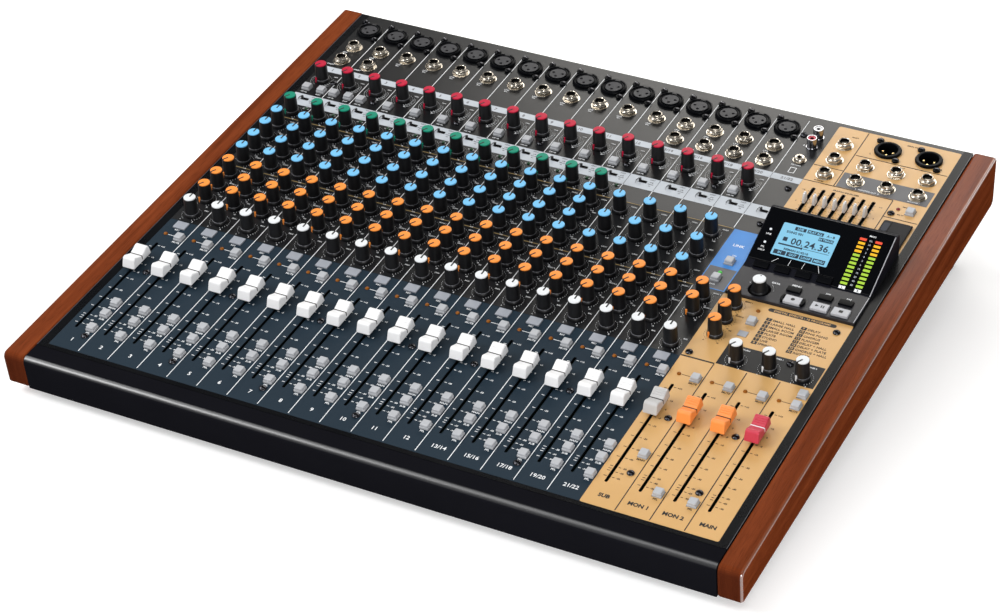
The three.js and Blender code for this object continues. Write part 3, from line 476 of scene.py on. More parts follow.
# A painted reflection: the pale blue of the flap's finger recess.
surface("recess_reflection_blue", (36, 42, 56), 0.4, mottle=0.2, sheen=0.15)
surface("key_rubber", (14, 14, 17), 0.45, mottle=0.08)
surface("rubber", (22, 22, 22), 0.85, scale=900, depth=0.0001, mottle=0.12)
surface("button_plastic", (172, 174, 178), 0.38, mottle=0.03, sheen=0.35)
surface("transport_plastic", (176, 177, 182), 0.4, mottle=0.03, sheen=0.35)
surface("flat_key_plastic", (153, 157, 165), 0.42, mottle=0.03, sheen=0.35)
surface("red_cap", (182, 12, 52), 0.45, mottle=0.03, sheen=0.25)
surface("green_cap", (0, 130, 104), 0.45, mottle=0.03, sheen=0.25)
surface("blue_cap", (112, 184, 228), 0.45, mottle=0.03, sheen=0.3)
surface("orange_cap", (240, 142, 56), 0.45, mottle=0.03, sheen=0.3)
surface("white_cap", (218, 221, 223), 0.45, mottle=0.02)
surface("white_fader", (229, 229, 230), 0.42, mottle=0.015)
surface("grey_fader", (186, 185, 184), 0.42, mottle=0.02)
surface("orange_fader", (240, 140, 64), 0.42, mottle=0.02)
surface("red_fader", (190, 50, 70), 0.42, mottle=0.02)
print("finishes so far", len(finishes))

# %% Metal, glass and light
surface("nickel", (204, 196, 183), 0.27, metallic=1, scale=500, depth=0.00001, mottle=0.05)
surface("gilt", (242, 214, 150), 0.3, metallic=1, mottle=0.04)
surface("chrome", (176, 176, 180), 0.16, metallic=1, mottle=0.03)
surface("screw_black", (66, 66, 70), 0.2, metallic=1, mottle=0.1)
surface("bore_black", (8, 7, 7), 0.8, mottle=0.1, sheen=0.05)
surface("window_gloss", (5, 6, 9), 0.08, depth=0.000002, mottle=0.1)
surface("screen_ink", (26, 44, 62), 0.4, mottle=0.05)
surface("unlit_amber", (136, 78, 8), 0.3, mottle=0.08, sheen=0.2)
surface("unlit_green", (30, 74, 44), 0.2, mottle=0.08, coat=0.4)
surface("unlit_red", (120, 22, 26), 0.2, mottle=0.08, coat=0.4)
glowing("screen_glow", (132, 196, 226), 0.85)
glowing("green_light", (168, 208, 62), 0.9)
glowing("amber_light", (246, 184, 30), 0.9)
glowing("red_light", (238, 82, 54), 0.9)
glowing("white_light", (235, 240, 245), 0.9)
glowing("lit_green", (70, 190, 70), 0.8)
print("finishes so far", len(finishes))

# %% [markdown]
# ## Shapes
# Most of the desk's small parts are one of four kinds: a profile turned about an axis (knobs, nuts, screws),
# a block with softened edges (buttons, keys), a flat outline with some thickness (printed fields) or
# lettering. Each helper gives back a plain mesh in millimetres, closed and facing outwards, that is placed
# once it is finished.

# %% Closed meshes
join_gap = 0.002


def outward(mesh):
    cleaned = bmesh.new()
    cleaned.from_mesh(mesh)
    bmesh.ops.remove_doubles(cleaned, verts=cleaned.verts, dist=join_gap)
    bmesh.ops.recalc_face_normals(cleaned, faces=cleaned.faces)
    cleaned.to_mesh(mesh)
    cleaned.free()
    return mesh


def as_mesh(maker):
    """The finished mesh of an object that curves, letters or modifiers make, which is then removed."""
    if maker.name not in scene.collection.objects:
        scene.collection.objects.link(maker)
    bpy.context.view_layer.update()
    graph = bpy.context.evaluated_depsgraph_get()
    mesh = bpy.data.meshes.new_from_object(maker.evaluated_get(graph), depsgraph=graph)
    bpy.data.objects.remove(maker)
    return mesh


print("points closer than", join_gap, "mm are one")

# %% Turned shapes and blocks


def turned(profile, steps=24, flute_depth=0.0):
    """A profile of (radius, height), foot first, turned about z. A third value of 1 flutes a ring."""
    points = []
    for radius, height, *fluted in profile:
        for step in range(steps):
            angle = 2 * math.pi * (step + 0.5) / steps
            reach = radius - (flute_depth if fluted and step % 2 else 0)
            points.append((reach * math.cos(angle), reach * math.sin(angle), height))
    faces = []
    for ring in range(len(profile) - 1):
        for step in range(steps):
            after = (step + 1) % steps
            low = ring * steps
            faces.append((low + step, low + after, low + steps + after, low + steps + step))
    mesh = bpy.data.meshes.new("turned")
    mesh.from_pydata(points, [], faces)
    return outward(mesh)


def bevelled(shape, edges, radius, steps):
    bmesh.ops.bevel(shape, geom=edges, offset=radius, segments=steps, profile=0.5, affect="EDGES")


def block(low, high, edge=0.0, steps=2):
    """A block between two corners, its edges softened by a given radius."""
    shape = bmesh.new()
    bmesh.ops.create_cube(shape, size=1)
    for vertex in shape.verts:
        vertex.co = [a + (b - a) * (share + 0.5) for a, b, share in zip(low, high, vertex.co)]
    if edge:
        bevelled(shape, shape.edges, edge, steps)
    mesh = bpy.data.meshes.new("block")
    shape.to_mesh(mesh)
    shape.free()
    return mesh


def softened(mesh, edge, steps=2, sharper_than=40):
    """The edges of a mesh that turn by more than an angle, bevelled."""
    shape = bmesh.new()
    shape.from_mesh(mesh)
    limit = math.radians(sharper_than)
    edges = [e for e in shape.edges if len(e.link_faces) == 2 and e.calc_face_angle() > limit]
    bevelled(shape, edges, edge, steps)
    shape.to_mesh(mesh)
    shape.free()
    return mesh


print("a plain turned shape has", len(turned([(0, 0), (1, 0), (1, 1), (0, 1)]).polygons), "faces")

# %% Outlines


def ring_points(middle, radius, angles):
    u, v = middle
    return [(u + radius * math.cos(angle), v + radius * math.sin(angle)) for angle in angles]


def circle(u, v, radius, steps=16):
    return ring_points((u, v), radius, [2 * math.pi * step / steps for step in range(steps)])


def rounded(left, front, right, rear, radius=0.0, steps=4):
    """The outline of a rectangle with rounded corners."""
    if not radius:
        return [(left, front), (right, front), (right, rear), (left, rear)]
    centres = [(right - radius, rear - radius), (left + radius, rear - radius),
               (left + radius, front + radius), (right - radius, front + radius)]
    outline = []
    for corner, middle in enumerate(centres):
        angles = [math.pi / 2 * (corner + step / steps) for step in range(steps + 1)]
        outline += ring_points(middle, radius, angles)
    return outline


def rounded_path(corners, steps=6):
    """An outline whose corners, (x, y, radius), are rounded by arcs."""
    points = []
    for index, (x, y, radius) in enumerate(corners):
        corner = Vector((x, y))
        if not radius:
            points.append(tuple(corner))
            continue
        before = (Vector(corners[index - 1][:2]) - corner).normalized()
        after = (Vector(corners[(index + 1) % len(corners)][:2]) - corner).normalized()
        half = before.angle(after) / 2
        middle = corner + (before + after).normalized() * radius / math.sin(half)
        start = corner + before * radius / math.tan(half) - middle
        sweep = start.angle_signed(corner + after * radius / math.tan(half) - middle)
        for step in range(steps + 1):
            turn = -sweep * step / steps
            points.append(tuple(middle + Matrix.Rotation(turn, 2) @ start))
    return points


print("a rounded rectangle has", len(rounded(0, 0, 2, 1, 0.2)), "points")

# %% Slabs


def slab(outlines, low, high):
    """Flat outlines given thickness. An outline that lies in another one is a hole."""
    curve = bpy.data.curves.new("outline", "CURVE")
    curve.dimensions = "2D"
    curve.fill_mode = "BOTH"
    curve.extrude = (high - low) / 2
    for outline in outlines:
        spline = curve.splines.new("POLY")
        spline.points.add(len(outline) - 1)
        for point, (u, v) in zip(spline.points, outline):
            point.co = (u, v, 0, 1)
        spline.use_cyclic_u = True
    mesh = as_mesh(bpy.data.objects.new("outline", curve))
    mesh.transform(Matrix.Translation((0, 0, (low + high) / 2)))
    return outward(mesh)


def side_slab(outline, left, right):
    """A side view of (v, z) points, drawn out from left to right."""
    mesh = slab([outline], left, right)
    mesh.transform(Matrix(((0, 0, 1, 0), (1, 0, 0, 0), (0, 1, 0, 0), (0, 0, 0, 1))))
    return mesh


print("a slab on a square has", len(slab([rounded(0, 0, 1, 1)], 0, 1).polygons), "faces")

# %% [markdown]
# ## Pieces in the frame
# Each finished shape becomes one object, with its place in its mesh. Wide flat faces should look flat and
# bends round, so the edges are smoothed up to an angle and the normals are weighted by the size of their
# faces. Then the piece rides on its body, and the CAD solid it stands for is hidden.

# %% Placing and handing over
smooth_angle = 38


def shifted(mesh, u=0.0, v=0.0, z=0.0, turn=0.0):
    moved = mesh.copy()
    moved.transform(Matrix.Translation((u, v, z)) @ Matrix.Rotation(turn, 4, "Z"))
    return moved


def lifted(mesh, z):
    mesh.transform(Matrix.Translation((0, 0, z)))
    return mesh


def gathered(meshes):
    """Several meshes as one."""
    whole = bmesh.new()
    for mesh in meshes:
        whole.from_mesh(mesh)
    mesh = bpy.data.meshes.new("gathered")
    whole.to_mesh(mesh)
    whole.free()
    return mesh


def piece(name, mesh, finish, body="desk", slot=None, stands_for=(), place=deck):
    """A finished piece: placed in metres, smoothed with wide faces flat, coloured, and riding on its body."""
    if isinstance(mesh, list):
        mesh = gathered(mesh)
    mesh.transform(place)
    mesh.shade_smooth()
    mesh.set_sharp_from_angle(angle=math.radians(smooth_angle))
    maker = bpy.data.objects.new("maker", mesh)
    flats = maker.modifiers.new("flats stay flat", "WEIGHTED_NORMAL")
    flats.keep_sharp = True
    mesh = as_mesh(maker)
    mesh.materials.clear()
    mesh.materials.append(finishes[finish])
    mesh.name = name
    made = bpy.data.objects.new(name, mesh)
    scene.collection.objects.link(made)
    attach(made, body)
    if stands_for:
        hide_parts(*stands_for)


def printed(name, mesh, ink):
    """Paint or ink on the panel, made a piece on the desk like any other."""
    piece(name, mesh, ink, slot="deck_steel")


print("edges under", smooth_angle, "degrees are smooth")

# %% [markdown]
# ## Repeating by Geometry Nodes
# A desk is mostly repetition. One tree puts a copy of a shape on each of a list of places, with a turn of
# its own where a place has one. A second tree lays an arc of scale marks round each place, as a dial is
# printed. Both end in Realize Instances and Set Material, and the result is kept as a plain mesh, which any
# other program can read.

# %% A tree that puts copies on places


def geometry_tree(name, inputs):
    tree = bpy.data.node_groups.new(name, "GeometryNodeTree")
    tree.interface.new_socket("Geometry", in_out="INPUT", socket_type="NodeSocketGeometry")
    for label, kind, value in [*inputs, ("Finish", "Material", None)]:
        socket = tree.interface.new_socket(label, in_out="INPUT", socket_type="NodeSocket" + kind)
        if value is not None:
            socket.default_value = value
    tree.interface.new_socket("Geometry", in_out="OUTPUT", socket_type="NodeSocketGeometry")
    return tree, add(tree, "NodeGroupInput", (-900, 0)), add(tree, "NodeGroupOutput", (900, 0))


def end_of_tree(tree, given, result, instances):
    realized = add(tree, "GeometryNodeRealizeInstances", (450, 0),
                   {"Geometry": instances.outputs["Instances"]})
    coat = {"Geometry": realized.outputs["Geometry"], "Material": given.outputs["Finish"]}
    finished = add(tree, "GeometryNodeSetMaterial", (650, 0), coat)
    fill(tree, result, {"Geometry": finished.outputs["Geometry"]})
    return tree


def copies_tree():
    tree, given, result = geometry_tree("copies on places", [("Shape", "Object", None)])
    shape = add(tree, "GeometryNodeObjectInfo", (-600, -200), {"Object": given.outputs["Shape"]})
    turn = add(tree, "GeometryNodeInputNamedAttribute", (-600, -400), {"Name": "turn"},
               data_type="FLOAT_VECTOR")
    set_out = add(tree, "GeometryNodeInstanceOnPoints", (-200, 0), {
        "Points": given.outputs["Geometry"],
        "Instance": shape.outputs["Geometry"],
        "Rotation": turn.outputs["Attribute"],
    })
    return end_of_tree(tree, given, result, set_out)


copies_on_places = copies_tree()
print("tree", copies_on_places.name, "has", len(copies_on_places.nodes), "nodes")

# %% A tree that lays arcs of marks


def mark_arc_tree():
    sizes = [("Radius", "Float", 8.0), ("Sweep", "Float", 5.2), ("Middle", "Float", math.pi / 2),
             ("Count", "Int", 11), ("Length", "Float", 1.0), ("Width", "Float", 0.35),
             ("Height", "Float", 0.1)]
    tree, given, result = geometry_tree("arc of marks", sizes)
    sweep = given.outputs["Sweep"]
    half_back = reckon(tree, "MULTIPLY", sweep, -0.5, (-700, -300))
    start = reckon(tree, "ADD", half_back, given.outputs["Middle"], (-550, -300))
    arc = add(tree, "GeometryNodeCurveArc", (-400, -200), {
        "Start Angle": start,
        "Sweep Angle": sweep,
        "Radius": given.outputs["Radius"],
        "Resolution": given.outputs["Count"],
    })
    points = add(tree, "GeometryNodeCurveToPoints", (-200, -200), {"Curve": arc.outputs["Curve"]},
                 mode="EVALUATED")
    size = add(tree, "ShaderNodeCombineXYZ", (-400, -500), {
        "X": given.outputs["Height"],
        "Y": given.outputs["Length"],
        "Z": given.outputs["Width"],
    })
    mark = add(tree, "GeometryNodeMeshCube", (-200, -500), {"Size": size.outputs[0]})
    marks = add(tree, "GeometryNodeInstanceOnPoints", (0, -200), {
        "Points": points.outputs["Points"],
        "Rotation": points.outputs["Rotation"],
        "Instance": mark.outputs["Mesh"],
    })
    arcs = {"Points": given.outputs["Geometry"], "Instance": marks.outputs["Instances"]}
    return end_of_tree(tree, given, result, add(tree, "GeometryNodeInstanceOnPoints", (250, 0), arcs))


arc_of_marks = mark_arc_tree()
print("tree", arc_of_marks.name, "has", len(arc_of_marks.nodes), "nodes")

# %% Using the trees


def on_places(tree, places, values, turns=None):
    """The mesh that a tree makes on a list of places, each (u, v) or (u, v, z)."""
    base = bpy.data.meshes.new("places")
    base.from_pydata([(*place, 0)[:3] for place in places], [], [])
    if turns:
        attribute = base.attributes.new("turn", "FLOAT_VECTOR", "POINT")
        for value, turn in zip(attribute.data, turns):
            value.vector = (0, 0, turn)
    maker = bpy.data.objects.new("maker", base)
    scene.collection.objects.link(maker)
    modifier = maker.modifiers.new("places", "NODES")
    modifier.node_group = tree
    sockets = {item.name: item.identifier for item in tree.interface.items_tree if item.in_out == "INPUT"}
    for label, value in values.items():
        modifier[sockets[label]] = value
    return as_mesh(maker)


def copies(name, shape, places, finish, turns=None, **handing_over):
    """One piece with a copy of a shape on each place."""
    template = bpy.data.objects.new("template", shape)
    mesh = on_places(copies_on_places, places, {"Shape": template, "Finish": finishes[finish]}, turns)
    bpy.data.objects.remove(template)
    piece(name, mesh, finish, **handing_over)


def arcs(places, finish, level, values):
    """Arcs of printed marks round places, lying on a level."""
    whole = {"Height": print_height, "Finish": finishes[finish], **values}
    return lifted(on_places(arc_of_marks, places, whole), level + print_height / 2)


print("finished trees", len(bpy.data.node_groups))

# %% [markdown]
# ## Print
# Letters and lines of ink have a thickness of their own, though a slight one: a flat print would fight with
# the panel's face for the same place. The letters are Blender's own, made a millimetre tall and scaled to
# size, and each word is shaped only once.

# %% Lettering and lines
print_height = 0.12
capital_share = 0.729
regular = 0.012
bold = 0.035
letter_shapes = {}


def lettering(text, weight=regular):
    """Letters a millimetre tall, centred, and as thick as a layer of print."""
    if (text, weight) not in letter_shapes:
        curve = bpy.data.curves.new("letters", "FONT")
        curve.body = text
        curve.size = 1 / capital_share
        curve.extrude = print_height / 2
        curve.resolution_u = 2
        curve.align_x = "CENTER"
        curve.offset = weight
        mesh = as_mesh(bpy.data.objects.new("letters", curve))
        mesh.transform(Matrix.Translation((0, -0.5, print_height / 2)))
        letter_shapes[text, weight] = mesh
    return letter_shapes[text, weight]


def words(labels, level=0.0, weight=regular):
    """Labels as (text, u, v, height of a capital), gathered into one mesh."""
    placed = []
    for text, u, v, size in labels:
        letters = lettering(text, weight).copy()
        letters.transform(Matrix.Translation((u, v, level)) @ Matrix.Diagonal((size, size, 1, 1)))
        placed.append(letters)
    return gathered(placed)


def bar(left, front, right, rear, level=0.0):
    return block((left, front, level), (right, rear, level + print_height))


print("print stands", print_height, "mm high")

# %% [markdown]
# ## Where everything is
# The panel is a grid of 21 strips, 25 mm apart: twelve single channels, four double ones, a return, and four
# master strips. The rows below are the distances from the front edge of the print. A control that repeats on
# every strip is one number here, and a loop does the rest.

# %% The panel's layout
pitch = 25
mono_strips = 12
socket_strips = 16
input_strips = 17
strip_count = 21
masters_left = input_strips * pitch
print_right = strip_count * pitch
print_rear = 478
knobs_right = 400
field_top = print_height
ink_top = 2 * print_height

arm_row = 161.3
mute_row = 146.7
main_row = 59.1
sub_row = 45
listen_row = 27
pan_row = 177
send_rows = [198, 216, 234]
mono_eq_rows = [254.5, 272.5, 290.5, 308.5]
stereo_eq_rows = [254.5, 281.5, 308.5]
comp_row = 329.5
trim_row = 379.3
low_cut_row = 365.4
low_cut_across = 6.2
insert_across = 19.6
button_offset = 20


def centre(strip):
    return strip * pitch + pitch / 2


def fader_across(strip):
    return strip * pitch + fader_slot_offset


def button_across(strip):
    return strip * pitch + button_offset


inputs = range(input_strips)
masters = range(input_strips, strip_count)
print("strips", strip_count, "print", print_right, "by", print_rear, "mm")

# %% [markdown]
# ## Wooden cheeks
# The two cheeks are stained boards with eased edges and a nose that follows the front rail. They are drawn
# from the side and given their thickness, and a bevel breaks the long edges, where the lacquer catches the
# light. The grain must run round the nose as it would in a bent board, so each corner gets a place that is
# measured along the outline, and attributes say where the edge and the top are, and where faces look to the
# front and take a painted shade.

# %% Cheek outline
rail_front = 22.5
rail_height = 28
rail_lean = 1.5
rail_edge_radius = 5
cheek_thickness = 18
side_border = 7.5
panel_rear = print_rear + 4.5
panel_front = -4
cheek_rear = panel_rear + 3
cheek_rear_height = 43.5
cheek_edge = 2
cheek_outline = rounded_path([
    (-rail_front, 0, rail_edge_radius),
    (rail_lean - rail_front, -rail_height, 3),
    (cheek_rear - rail_lean, -cheek_rear_height, 6),
    (cheek_rear, 0, 3),
])
first_at_foot = 14
cheek_walk = cheek_outline[first_at_foot:] + cheek_outline[:first_at_foot]


def girth_at(outline, v, z):
    """How far round an outline the place nearest to (v, z) lies, and how far off the outline (v, z) is."""
    nearest = (0, math.inf)
    walked = 0
    for start, end in zip(outline, outline[1:] + outline[:1]):
        way = Vector(end) - Vector(start)
        reach = Vector((v, z)) - Vector(start)
        share = min(1, max(0, reach.dot(way) / way.length_squared))
        gap = (reach - way * share).length
        if gap < nearest[1]:
            nearest = (walked + way.length * share, gap)
        walked += way.length
    return nearest


print("cheek outline", len(cheek_outline), "points")

# %% Cheeks
front_shade_depth = 0.75
top_lacquer = 0.25
edge_reach = 0.9 * cheek_edge
side_facing = 0.7
top_play = 0.01


def mark_board(board, outer):
    """Marks for the wood: where the board runs round its nose, its outer edge, its painted front shade."""
    girths = [girth_at(cheek_walk, vertex.co.y, vertex.co.z) for vertex in board.vertices]
    edge = board.attributes.new("edge", "FLOAT", "POINT")
    for vertex, (_, gap), value in zip(board.vertices, girths, edge.data):
        if max(abs(vertex.co.x - outer), gap) < edge_reach:
            value.value = 1
        elif vertex.co.z > -top_play:
            value.value = top_lacquer
    places = board.attributes.new("board", "FLOAT_VECTOR", "CORNER")
    front_painted_shade = board.attributes.new("front_painted_shade", "FLOAT", "FACE")
    for face in board.polygons:
        on_side = abs(face.normal.x) > side_facing
        # A painted shade: the more a face looks to the front, the darker its stain.
        front_painted_shade.data[face.index].value = front_shade_depth * max(0, -face.normal.y) ** 2
        for corner in face.loop_indices:
            index = board.loops[corner].vertex_index
            x, v, z = board.vertices[index].co
            places.data[corner].vector = Vector((z, v, x) if on_side else (x, girths[index][0], 0)) * mm


cheek_lefts = {"left_cheek": -side_border - cheek_thickness, "right_cheek": print_right + side_border}
for name, left in cheek_lefts.items():
    board = softened(side_slab(cheek_outline, left, left + cheek_thickness), cheek_edge, steps=3)
    mark_board(board, outer=left if left < 0 else left + cheek_thickness)
    piece(name + "_board", board, "stained_wood", slot="wood", stands_for=[name])
print("cheeks reach from", round(-rail_front, 1), "to", round(cheek_rear, 1), "mm")

# %% [markdown]
# ## Front rail
# The rail is a bent sheet whose rounded top edge carries a highlight from end to end, so it needs a true arc
# there. The coat's mask is the distance round the outline from the middle of that highlight. Two thin pale
# lines along the panel's long edges beside the cheeks are a painted highlight on the panel's edges.

# %% Rail and painted edge highlights
rail_bottom_front = rail_lean - rail_front
rail_wall = 2
rail_gap = 0.3
rail_rear = panel_front - rail_gap
highlight_rise = 1.2
rail_outline = rounded_path([
    (rail_rear, 0, 0),
    (-rail_front, 0, rail_edge_radius),
    (rail_bottom_front, -rail_height, 0),
    (rail_bottom_front + rail_wall, -rail_height, 0),
    (rail_wall - rail_front, -rail_wall, rail_edge_radius - rail_wall),
    (rail_rear, -rail_wall, 0),
], steps=10)
rail = side_slab(rail_outline, -side_border + rail_gap, print_right + side_border - rail_gap)
bend_middle = girth_at(rail_outline, -rail_front, 0)[0] - highlight_rise
bend = rail.attributes.new("bend", "FLOAT", "POINT")
for vertex, value in zip(rail.vertices, bend.data):
    value.value = abs(girth_at(rail_outline, vertex.co.y, vertex.co.z)[0] - bend_middle)
piece("bent_front_rail", rail, "rail_paint", slot="rail_metal", stands_for=["front_rail"])
# Pale lines along the panel's long edges are a painted highlight, where the edge catches the light.
line_middles = (-7.0, print_right + 7.0)
edge_highlight_lines = [block((u - 0.2, panel_front, 0), (u + 0.2, panel_rear, 0.25)) for u in line_middles]
printed("panel_edge_lines", edge_highlight_lines, "edge_highlight_paint")
print("rail arc", rail_edge_radius, "mm")

# %% [markdown]
# ## Steel and feet
# The panel, the tray and the power supply keep their CAD solids, whose holes and folds are right as they
# are, and only get new paint. The feet are turned rubber pads. They stand on the table, so they are placed
# in the room's own upright axes and not on the sloping deck.

# %% Steel and feet
stand = Matrix.Scale(mm, 4)
coats = {"top_panel": "deck_paint", "base_chassis": "tray_paint", "power_supply": "black_plastic"}
for name, finish in coats.items():
    frame["nodes"][name].data.materials.clear()
    frame["nodes"][name].data.materials.append(finishes[finish])

foot_profile = [(0, 0.2), (12.4, 0.2), (13.4, 0.8), (13.9, 2.4), (13.9, 7.4), (13.6, 8), (0, 8)]
for side in ("front_left", "front_right", "rear_left", "rear_right"):
    low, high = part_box("foot_" + side)
    middle = (low + high) / 2 / mm
    foot = shifted(turned(foot_profile, steps=32), middle.x, middle.y)
    piece("foot_pad_" + side, foot, "rubber", slot="rubber", stands_for=["foot_" + side], place=stand)
print("feet are", 2 * foot_profile[3][0], "mm wide")

# %% [markdown]
# ## Openings in the print
# The panel is silk-screened. Each field is a thin sheet of ink on the steel, with the fader slots and the
# holes of the keys left open, so that the metal's real openings show. An outline inside another one is a
# hole, so a field is a list of outlines.

# %% Slots and holes
slot_width = 2.4
slot_front = 24.1
slot_rear = 135.9
slot_steps = 3
button_width = 6.9
button_length = 7.3
arm_width = 10.2
arm_length = 8.4
hole_gap = 0.3


def slot_hole(strip):
    u = fader_across(strip)
    half = slot_width / 2
    return rounded(u - half, slot_front, u + half, slot_rear, slot_width / 2.01, slot_steps)


def key_hole(place, width=button_width, length=button_length):
    u, v = place
    return rounded(u - width / 2 - hole_gap, v - length / 2 - hole_gap,
                   u + width / 2 + hole_gap, v + length / 2 + hole_gap)


input_rows = [mute_row, main_row, sub_row, listen_row]
extra_rows = {17: [main_row], 18: [listen_row], 19: [listen_row]}
latch_places = [(button_across(k), row) for k in inputs for row in input_rows]
master_latch_places = [(button_across(k), mute_row) for k in masters]
master_latch_places += [(button_across(k), row) for k, rows in extra_rows.items() for row in rows]
master_latch_places += [(520, 159.2)]
arm_places = [(centre(k), arm_row) for k in inputs]
effect_button = (456.1, 221.4)
equaliser_button = (514.6, 389.8)
link_button = (414, 281)
pairing_button = (412.4, 259)
line_plugs = [(471, 459.6), (504.3, 459.6)]
print("latching keys", len(latch_places) + len(master_latch_places))

# %% [markdown]
# ## Printed fields
# A slate field lies under the faders, gold fields under the masters and the outputs, a black one under the
# knobs, and pale bands carry the channel numbers. A dark border closes the print at both sides and in front.

# %% Slate and border


def field(name, outlines, finish, level=0.0):
    printed(name, slab(outlines, level, level + print_height), finish)


slate = [rounded(0.2, 0, masters_left - 0.6, 166.7, 1.5)]
slate += [slot_hole(k) for k in inputs]
slate += [key_hole(place) for place in latch_places]
slate += [key_hole(place, arm_width, arm_length) for place in arm_places]
field("slate_field", slate, "blue_print")

border_left = 0.35 - side_border
border_right = print_right - border_left
field("panel_border", [[
    (border_left, panel_front), (border_right, panel_front), (border_right, panel_rear),
    (print_right, panel_rear), (print_right, -0.3), (-0.1, -0.3), (-0.1, panel_rear),
    (border_left, panel_rear),
]], "border_paint")
print("slate field has", len(slate) - 1, "openings")

# %% Gold fields
gold_left = masters_left - 0.6
gold_right = print_right - 0.4
band_pitch = 8.05
first_band = 436.5
bands = range(7)
eq_slot_front = 352.3
eq_slot_rear = 392.7
band_slot_half = 1.1
plug_reach = 8.6


def band_across(band):
    return first_band + band * band_pitch


def band_slot(band, grown=0.0):
    half = band_slot_half + grown
    u = band_across(band)
    return rounded(u - half, eq_slot_front - grown, u + half, eq_slot_rear + grown, half - 0.01, slot_steps)


gold_front = [rounded(gold_left, 0, gold_right, 245.2, 1.5)]
gold_front += [slot_hole(k) for k in masters]
gold_front += [key_hole(place) for place in [*master_latch_places, effect_button]]
field("gold_front_field", gold_front, "gold_print")

gold_rear = [rounded(gold_left, 338.2, gold_right, print_rear, 1.5)]
gold_rear += [band_slot(band) for band in bands]
gold_rear += [key_hole(equaliser_button)]
gold_rear += [rounded(u - plug_reach, v - plug_reach, u + plug_reach, v + plug_reach, plug_reach - 0.1, 8)
              for u, v in line_plugs]
field("gold_rear_field", gold_rear, "gold_print")
print("gold fields have", len(gold_front) + len(gold_rear) - 2, "openings")

# %% Black, pale and blue fields
pale_bands = [(340.9, 356.4), (392.7, 400)]
pairing_edge = rounded(402.1, 247.2, 423.2, 272.8)
field("knob_field", [rounded(0.2, 166.9, knobs_right, 320.6)], "control_print")
band_bars = [bar(0.4, front, masters_left - 0.8, rear) for front, rear in pale_bands]
band_lines = [bar(k * pitch - 0.14, front, k * pitch + 0.14, rear, field_top)
              for k in inputs[1:] for front, rear in pale_bands]
printed("number_bands", band_bars, "pale_print")
printed("number_band_lines", band_lines, "black_ink")
field("link_field", [rounded(401.3, 273.6, 424, 320.9), key_hole(link_button)], "bright_blue_print")
field("pairing_frame", [rounded(401.3, 246.4, 424, 273.6), pairing_edge], "bright_blue_print")
field("pairing_field", [pairing_edge, key_hole(pairing_button)], "grey_print")
field("bus_field", [rounded(450.6, 168.6, 523.6, 193)], "control_print", field_top)
printed("monitor_field", bar(450.4, 401.3, 523, 420.9, field_top), "grey_print")
print("pale bands", len(pale_bands))

# %% [markdown]
# ## Ruled lines
# White lines divide the strips from end to end, and the eye reads them first, so they are ruled to their
# true width. Fine black lines divide the gold fields, and two ochre ones cross the knobs.

# %% Dividers
line_width = 0.52
thin = 0.34
rule = line_width / 2
rule_stretches = [(1.5, 245), (245, 322), (322, 340.9), (356.4, 392.7), (400, 475.5)]
white_rules = [bar(k * pitch - rule, front, k * pitch + rule, rear, field_top)
               for k in inputs[1:] for front, rear in rule_stretches if k < socket_strips or front != 245]
printed("strip_rules", white_rules, "white_ink")


def upright(u, front, rear):
    return bar(u - thin, front, u + thin, rear, field_top)


def across(left, right, v):
    return bar(left, v - thin, right, v + thin, field_top)


black_rules = [upright(u, 1, 167) for u in (450, 475, 500)]
black_rules += [bar(424.6, 167.2, 450, 168.5, field_top)]
black_rules += [upright(449, 400.5, 477.5), upright(497, 356, 400)]
black_rules += [across(450, 524, 445.5), across(424.6, 449, 422)]
black_rules += [across(424.6, 497, 400.5), across(497, 524, 378.5)]
printed("gold_rules", black_rules, "black_ink")
ochre_rules = [bar(1, v, knobs_right, v + 0.6, field_top) for v in (320.4, 245.8)]
printed("ochre_rules", ochre_rules, "ochre_ink")
print("rules", len(white_rules) + len(black_rules) + len(ochre_rules))

# %% [markdown]
# ## Rotary knobs
# Each knob is a black moulding with fine ribs for grip, a wider skirt, a coloured disc pressed into its top
# and a white or coloured bar on the skirt that points at the scale. One profile turned about its axis gives
# the body, and copies of it are set on every place. Channel 1's ten knobs turn by joints, so each is a piece
# of its own.

# %% Knob shapes
knob_body = turned([
    (0, 0.35), (5.9, 0.35), (6.0, 0.8), (5.9, 2.0), (5.6, 2.5), (5.4, 2.8), (5.35, 3.3, 1), (4.9, 15.7, 1),
    (4.85, 16.1), (0, 16.1),
], steps=28, flute_depth=0.16)
knob_cap = turned([(0, 15.9), (4.65, 15.9), (4.65, 16.65), (4.5, 16.9), (4.2, 17.0), (0, 17.0)], steps=28)
knob_line = gathered([
    block((-0.6, 0.1, 16.6), (0.6, 4.7, 17.06)),
    block((-0.6, 4.4, 15.95), (0.6, 4.76, 17.06)),
    side_slab([(4.6, 16), (5.0, 16), (5.4, 4), (5, 4)], -0.35, 0.35),
])
knob_bar = block((-0.65, 5.1, 0.5), (0.65, 6.15, 5.2), 0.12, 1)
# The pale ring at the top of each skirt is a painted highlight, where the skirt's edge would catch the light.
knob_highlight_ring = turned([(5.2, 2.9), (5.56, 2.9), (5.54, 3.1), (5.2, 3.2), (5.2, 2.9)], steps=28)
print("knob body", len(knob_body.polygons), "faces")

# %% Which knobs a strip has
least_turn = math.radians(150)
mono_eq = list(zip(("low", "mid_sweep", "mid_level", "high"), mono_eq_rows))
sends = list(zip(("effect_send", "monitor_2", "monitor_1"), send_rows))


